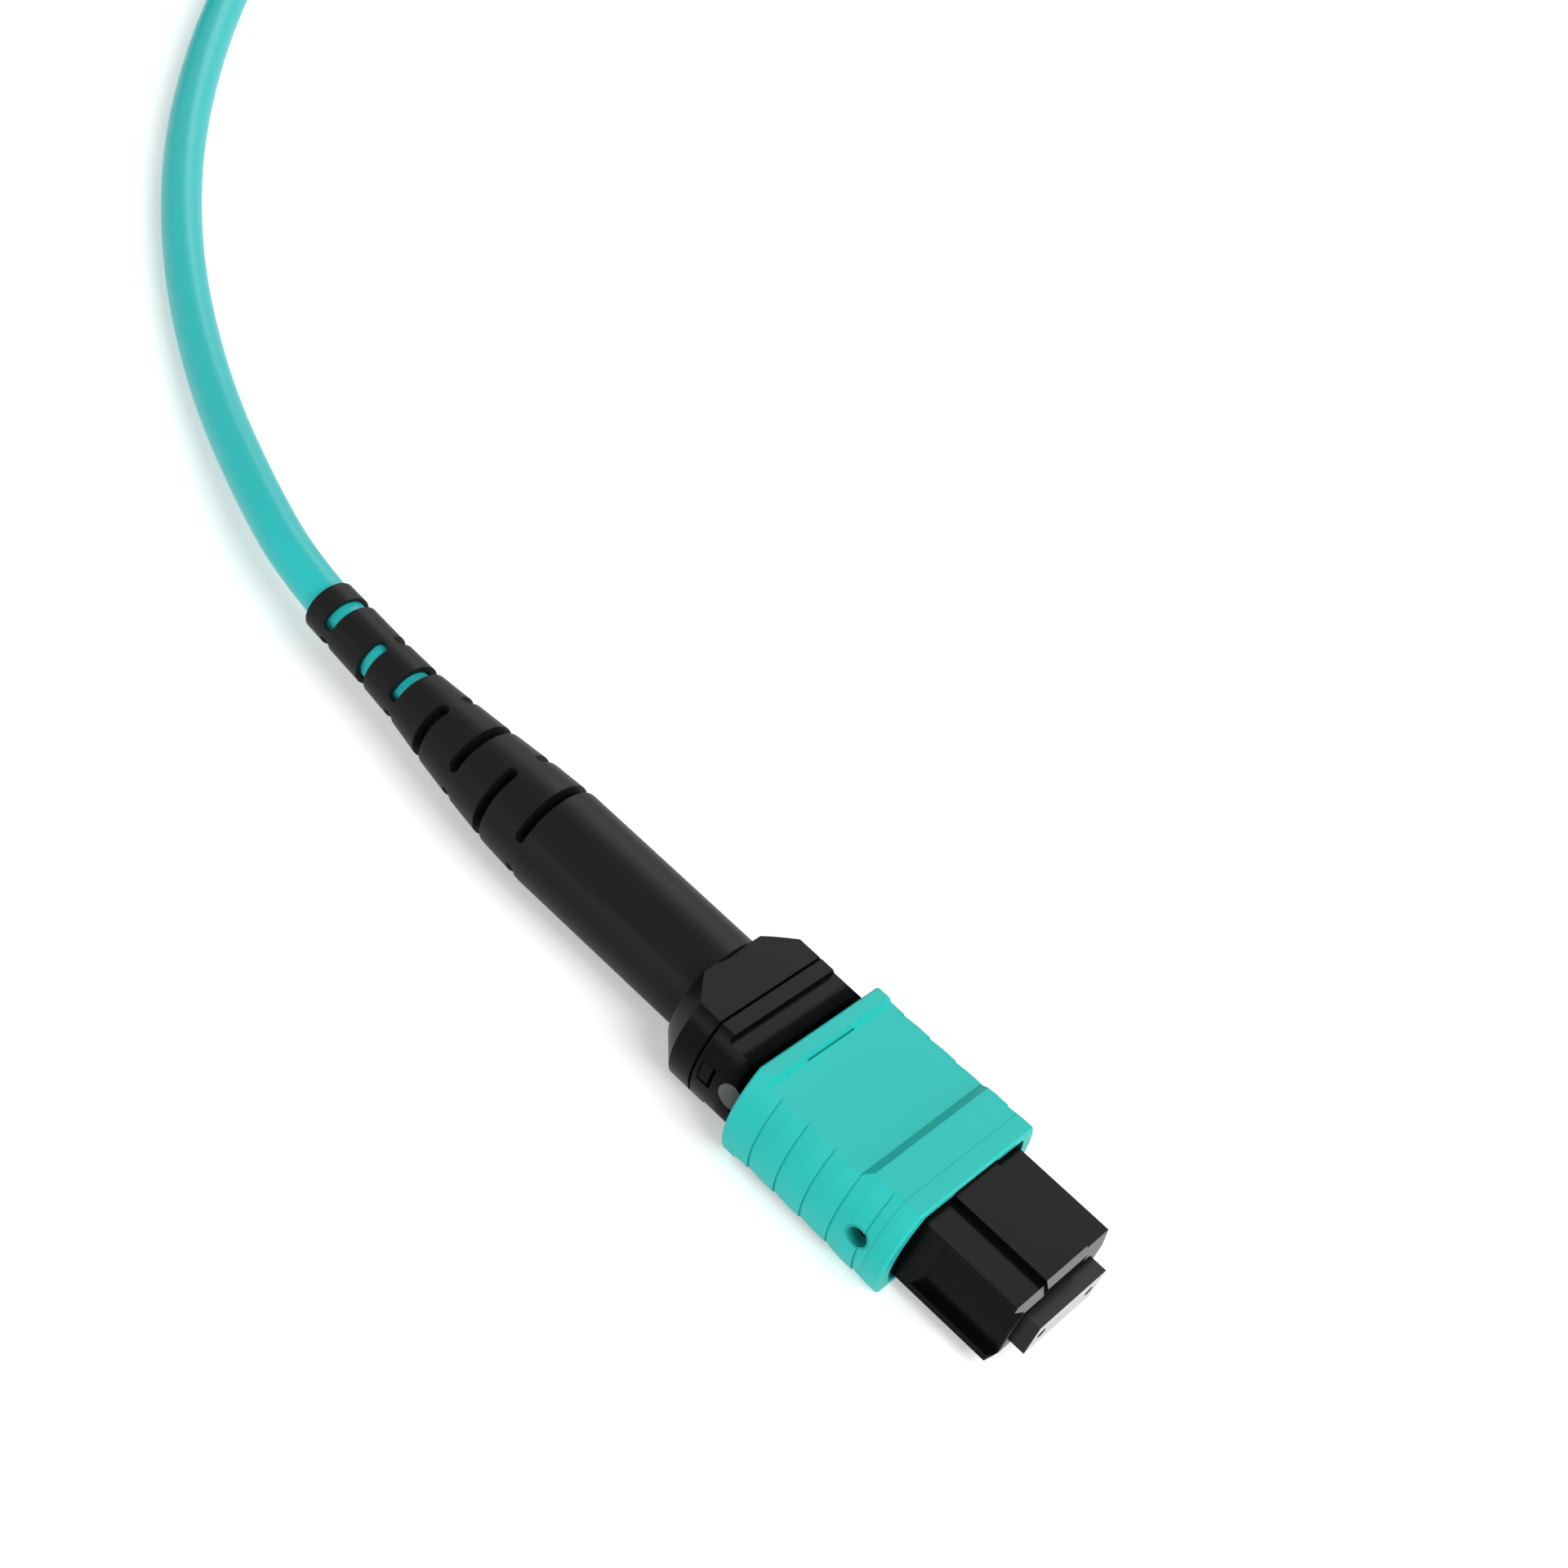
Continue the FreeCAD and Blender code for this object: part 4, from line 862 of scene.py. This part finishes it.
def turn_at(angle):
    """The winding's reach and height at an angle run, in millimetres and degrees from its start."""
    reach = OUTER_REACH
    for crossing in CROSSINGS_IN:
        reach -= TURN_PITCH * eased(angle, crossing, crossing + CROSSING_RUN)
    height = LOW_HEIGHT + TURN_PITCH * eased(angle, CROSSING_UP, CROSSING_UP + CROSSING_RUN)
    for crossing in CROSSINGS_OUT:
        reach += TURN_PITCH * eased(angle, crossing, crossing + CROSSING_RUN)
    return reach, height


def coil_points():
    """The coil's turns, two layers of four, wound inwards below and outwards above."""
    points = []
    step = 360.0 / TURN_STEPS
    first, last = WINDING
    for number in range(1, int((last - first) / step)):
        angle = first + number * step
        reach, height = turn_at(angle)
        turn = math.radians(angle)
        points.append((reach * math.cos(turn), reach * math.sin(turn), height))
    return points


def tail_place(degrees, reach, height):
    """Where a point of the tail lies, in millimetres in the frame."""
    turn = math.radians(degrees)
    return (COIL_MIDDLE[0] + reach * math.cos(turn), COIL_MIDDLE[1] + reach * math.sin(turn), height)


def cable_points():
    """Every point that steers the cable, in metres."""
    points = [(FACE_X / MM - back, left, above) for back, left, above in ROUTE]
    for x, y, z in coil_points():
        points.append((COIL_MIDDLE[0] + x, COIL_MIDDLE[1] + y, z))
    points += [tail_place(*place) for place in TAIL]
    return [Vector(point) * MM for point in points]


class CONNECTOR_OT_cable(bpy.types.Operator):
    """The aqua pigtail, from the crimp through the boot to the coil and its bare end"""

    bl_idname = "connector.cable"
    bl_label = "Lay the cable"

    def execute(self, context):
        curve = bpy.data.curves.new("pigtail", "CURVE")
        curve.dimensions = "3D"
        curve.bevel_depth = sizes().cable_diameter / 2
        curve.bevel_resolution = 5
        curve.resolution_u = 8
        curve.use_fill_caps = True
        spline = curve.splines.new("NURBS")
        points = cable_points()
        spline.points.add(len(points) - 1)
        for point, place in zip(spline.points, points):
            point.co = (*place, 1.0)
        spline.order_u = 3
        spline.use_endpoint_u = True
        material, tree, shader, painted = moulded(
            "jacket_aqua", colours().jacket, 0.36, mottle=0.03, wear=0.0, gloss=0.25
        )
        # painted shadow: the jacket is painted black from the crimp to the boot's fourth ring of slots,
        # where the boot shades it
        _, place = own_place(tree)
        sleeve = ramp(tree, place["X"], behind(BOOT_SHADOW_END), behind(BOOT_SHADOW_END - 0.1))
        painted = mix_colour(tree, sleeve, painted, BOOT_SHADOW_BLACK)
        tree.links.new(painted, shader.inputs["Base Color"])
        curve.materials.append(material)
        pigtail = bpy.data.objects.new("pigtail", curve)
        context.scene.collection.objects.link(pigtail)
        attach(pigtail, "housing")
        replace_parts(pigtail, "cable", "cable_coil", "cable_tail")
        return {"FINISHED"}


def strap_line():
    """The strap's middle line round the coil's section: reach from the coil's middle, height."""
    far, near = OUTER_REACH, OUTER_REACH - TURN_PITCH * len(CROSSINGS_IN)
    low, high = LOW_HEIGHT, LOW_HEIGHT + TURN_PITCH
    bend = (sizes().cable_diameter + sizes().strap_thickness) / MM / 2 + STRAP_GAP
    line = []
    corners = ((far, high, 0), (near, high, 90), (near, low, 180), (far, low, 270))
    for middle_reach, middle_height, start in corners:
        for step in range(7):
            turn = math.radians(start + 15 * step)
            out, up = bend * math.cos(turn), bend * math.sin(turn)
            line.append((middle_reach + out, middle_height + up))
    return line


def strap_mesh():
    """A woven strap, with its free end lapped over the start on the coil's outside."""
    line = strap_line()
    lap = sizes().strap_thickness / MM * 1.05
    # up the outside once more, lying on the first turn
    outside = line[0][0] + lap
    line += [(outside - 0.1, line[-1][1] + 0.9), (outside, 3.2), (outside, 4.6), (outside - 0.12, 5.6)]
    half_width = sizes().strap_width / 2
    columns = 8
    mesh = bmesh.new()
    rows = []
    for reach, height in line:
        row = []
        for column in range(columns + 1):
            across = COIL_MIDDLE[0] * MM + (2 * column / columns - 1) * half_width
            row.append(mesh.verts.new((across, (COIL_MIDDLE[1] - reach) * MM, height * MM)))
        rows.append(row)
    for row, following in zip(rows, rows[1:]):
        for column in range(columns):
            mesh.faces.new((row[column], row[column + 1], following[column + 1], following[column]))
    return closed("coil_strap", mesh)


class CONNECTOR_OT_tie(bpy.types.Operator):
    """Hook and loop strap that holds the coil"""

    bl_idname = "connector.tie"
    bl_label = "Wrap the tie"

    def execute(self, context):
        fabric, tree, shader, painted = moulded(
            "strap_fabric", (0.022, 0.022, 0.024), 0.85, mottle=0.3, spread=0.2, wear=0.0, gloss=0.2
        )
        loops = tree.nodes.new("ShaderNodeTexVoronoi")
        where, _ = own_place(tree)
        tree.links.new(where, loops.inputs["Vector"])
        loops.inputs["Scale"].default_value = 4200.0
        tint = math_node(tree, "MULTIPLY", ramp(tree, loops.outputs["Distance"], 0.1, 0.6), 0.6)
        painted = mix_colour(tree, tint, painted, (0.07, 0.07, 0.075))
        tree.links.new(painted, shader.inputs["Base Color"])
        bump(tree, shader, loops.outputs["Distance"], 0.05 * MM, 0.8)
        shader.inputs["Sheen Weight"].default_value = 0.3
        strap = new_piece("coil_strap", strap_mesh(), fabric)
        thick = strap.modifiers.new("thickness", "SOLIDIFY")
        thick.thickness = sizes().strap_thickness
        thick.offset = 0.0
        rounded = strap.modifiers.new("edges", "BEVEL")
        rounded.width = 0.1 * MM
        rounded.segments = 2
        strap.data.shade_smooth()
        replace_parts(strap, "coil_tie")
        return {"FINISHED"}


# The yarn at the bare end: its strands, their length and radius, the bunch's radius, and the
# turn from one strand to the next, which spreads them evenly.
YARN_STRANDS = 70
YARN_LENGTH = 5.0
YARN_RADIUS = 0.075
BUNCH_RADIUS = 1.0
GOLDEN_TURN = 2.399963
# The bare fibres: where they leave the yarn, their length and radius, the pitch in a row, the
# rows' height over and under the middle, the height they sink to, and their colours in order.
FIBRE_RADIUS = 0.125
FIBRE_PITCH = 0.255
FIBRE_ROW = 6
ROW_LIFT = 0.13
FIBRE_REST = 0.45
FIBRE_START = 5.15
FIBRE_LENGTH = 13.0
FIBRE_COLOURS = (
    (0.02, 0.10, 0.45), (0.75, 0.20, 0.02), (0.02, 0.30, 0.08), (0.18, 0.07, 0.03),
    (0.22, 0.24, 0.26), (0.70, 0.70, 0.68), (0.50, 0.02, 0.02), (0.012, 0.012, 0.012),
    (0.75, 0.60, 0.03), (0.16, 0.05, 0.30), (0.75, 0.28, 0.35), (0.05, 0.55, 0.55),
)


def bare_end():
    """The jacket's end, the level heading there, the way across and the run's own direction."""
    (turn, reach, height), (turn_end, reach_end, height_end) = TAIL[-2:]
    before = Vector(tail_place(turn, reach, height))
    end = Vector(tail_place(turn_end, reach_end, height_end))
    along = (end - before).normalized()
    level = Vector((along.x, along.y, 0)).normalized()
    return end, level, Vector((-level.y, level.x, 0)), along


def strand(curve, points, finish=0):
    """One strand along these points, in millimetres, in the curve's given finish."""
    spline = curve.splines.new("NURBS")
    spline.points.add(len(points) - 1)
    for point, place in zip(spline.points, points):
        point.co = (*(place * MM), 1.0)
    spline.order_u = 3
    spline.use_endpoint_u = True
    spline.material_index = finish


def new_strands(radius):
    """An empty bunch of round strands."""
    curve = bpy.data.curves.new("strands", "CURVE")
    curve.dimensions = "3D"
    curve.bevel_depth = radius
    curve.bevel_resolution = 1
    curve.resolution_u = 4
    curve.use_fill_caps = True
    return curve


def cut_strands(name, curve, stands_for):
    """The laid strands as one mesh piece."""
    laid = bpy.data.objects.new("strands", curve)
    mesh = bpy.data.meshes.new_from_object(laid)
    mesh.name = name
    bpy.data.objects.remove(laid)
    piece = bpy.data.objects.new(name, mesh)
    bpy.context.scene.collection.objects.link(piece)
    mesh.shade_smooth()
    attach(piece, "housing")
    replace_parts(piece, stands_for)


class CONNECTOR_OT_bare_end(bpy.types.Operator):
    """Trimmed yarn and the bare coloured fibres at the cable's far end"""

    bl_idname = "connector.bare_end"
    bl_label = "Trim the bare end"

    def execute(self, context):
        yarn = moulded("trimmed_yarn", (0.66, 0.50, 0.12), 0.7, mottle=0.4, wear=0.0)[0]
        end, level, across, along = bare_end()
        up = along.cross(across) * -1
        brush = new_strands(YARN_RADIUS * MM)
        brush.materials.append(yarn)
        for number in range(YARN_STRANDS):
            turn = number * GOLDEN_TURN
            out = BUNCH_RADIUS * math.sqrt((number + 0.5) / YARN_STRANDS)
            spoke = across * math.cos(turn) + up * math.sin(turn)
            reach = YARN_LENGTH - 0.5 * abs(math.sin(number * 1.7))
            sway = across * 0.12 * math.sin(number * 2.3)
            line = [
                end + spoke * out * 0.9 - along * 0.3,
                end + spoke * out + along * reach * 0.4 + sway,
                end + spoke * (out + 0.08) + along * reach * 0.75 - sway,
                end + spoke * (out + 0.02) + along * reach,
            ]
            strand(brush, line)
        cut_strands("yarn_brush", brush, "tail_yarn")

        fibres = new_strands(FIBRE_RADIUS * MM)
        for number, colour in enumerate(FIBRE_COLOURS):
            coating = moulded("fibre_%02d" % (number + 1), colour, 0.3, mottle=0.03, wear=0.0)[0]
            fibres.materials.append(coating)
        start = end + level * FIBRE_START
        drop = start.z - FIBRE_REST
        for number in range(len(FIBRE_COLOURS)):
            side = (number % FIBRE_ROW - (FIBRE_ROW - 1) / 2) * FIBRE_PITCH
            lift = ROW_LIFT if number < FIBRE_ROW else -ROW_LIFT
            spread = 1.0 + 0.35 * math.sin(number * 1.9)
            line = []
            for share in (-0.42, 0.0, 0.35, 0.7, 1.0):
                fall = drop * max(0.0, share) ** 1.3
                sideways = side * (1 + 0.12 * spread * max(0.0, share))
                spot = start + level * FIBRE_LENGTH * share + across * sideways
                line.append(spot + Vector((0, 0, lift - fall)))
            strand(fibres, line, finish=number)
        cut_strands("bare_fibres", fibres, "tail_ribbon")
        return {"FINISHED"}


# ---------------------------------------------------------------- panel and run

STEPS = (
    CONNECTOR_OT_stage,
    CONNECTOR_OT_tie,
    CONNECTOR_OT_bare_end,
    CONNECTOR_OT_cable,
    CONNECTOR_OT_housing,
    CONNECTOR_OT_slider,
    CONNECTOR_OT_ferrule,
    CONNECTOR_OT_springs,
    CONNECTOR_OT_spring_push,
    CONNECTOR_OT_crimp,
    CONNECTOR_OT_fibres,
    CONNECTOR_OT_boot,
)
GROUPS = (ConnectorSizes, ConnectorColours, StageSettings)


class CONNECTOR_PT_panel(bpy.types.Panel):
    """Sizes, colours and the steps that build the connector's looks"""

    bl_idname = "CONNECTOR_PT_panel"
    bl_label = "Multi-fibre connector"
    bl_space_type = "VIEW_3D"
    bl_region_type = "UI"
    bl_category = "Connector"

    def draw(self, context):
        for owner in (sizes(), colours(), context.scene.connector_stage):
            for name in owner.__annotations__:
                self.layout.prop(owner, name)
        for step in STEPS:
            self.layout.operator(step.bl_idname)


def register():
    for group in GROUPS:
        bpy.utils.register_class(group)
    bpy.types.Scene.connector_sizes = bpy.props.PointerProperty(type=ConnectorSizes)
    bpy.types.Scene.connector_colours = bpy.props.PointerProperty(type=ConnectorColours)
    bpy.types.Scene.connector_stage = bpy.props.PointerProperty(type=StageSettings)
    for step in (*STEPS, CONNECTOR_PT_panel):
        bpy.utils.register_class(step)


def unregister():
    for step in reversed((*STEPS, CONNECTOR_PT_panel)):
        bpy.utils.unregister_class(step)
    del bpy.types.Scene.connector_stage
    del bpy.types.Scene.connector_colours
    del bpy.types.Scene.connector_sizes
    for group in reversed(GROUPS):
        bpy.utils.unregister_class(group)


def main():
    register()
    grain_group()
    wear_group()
    for step in STEPS:
        area, name = step.bl_idname.split(".")
        getattr(getattr(bpy.ops, area), name)()
    bpy.context.view_layer.update()
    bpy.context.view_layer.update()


if __name__ == "__main__":
    main()
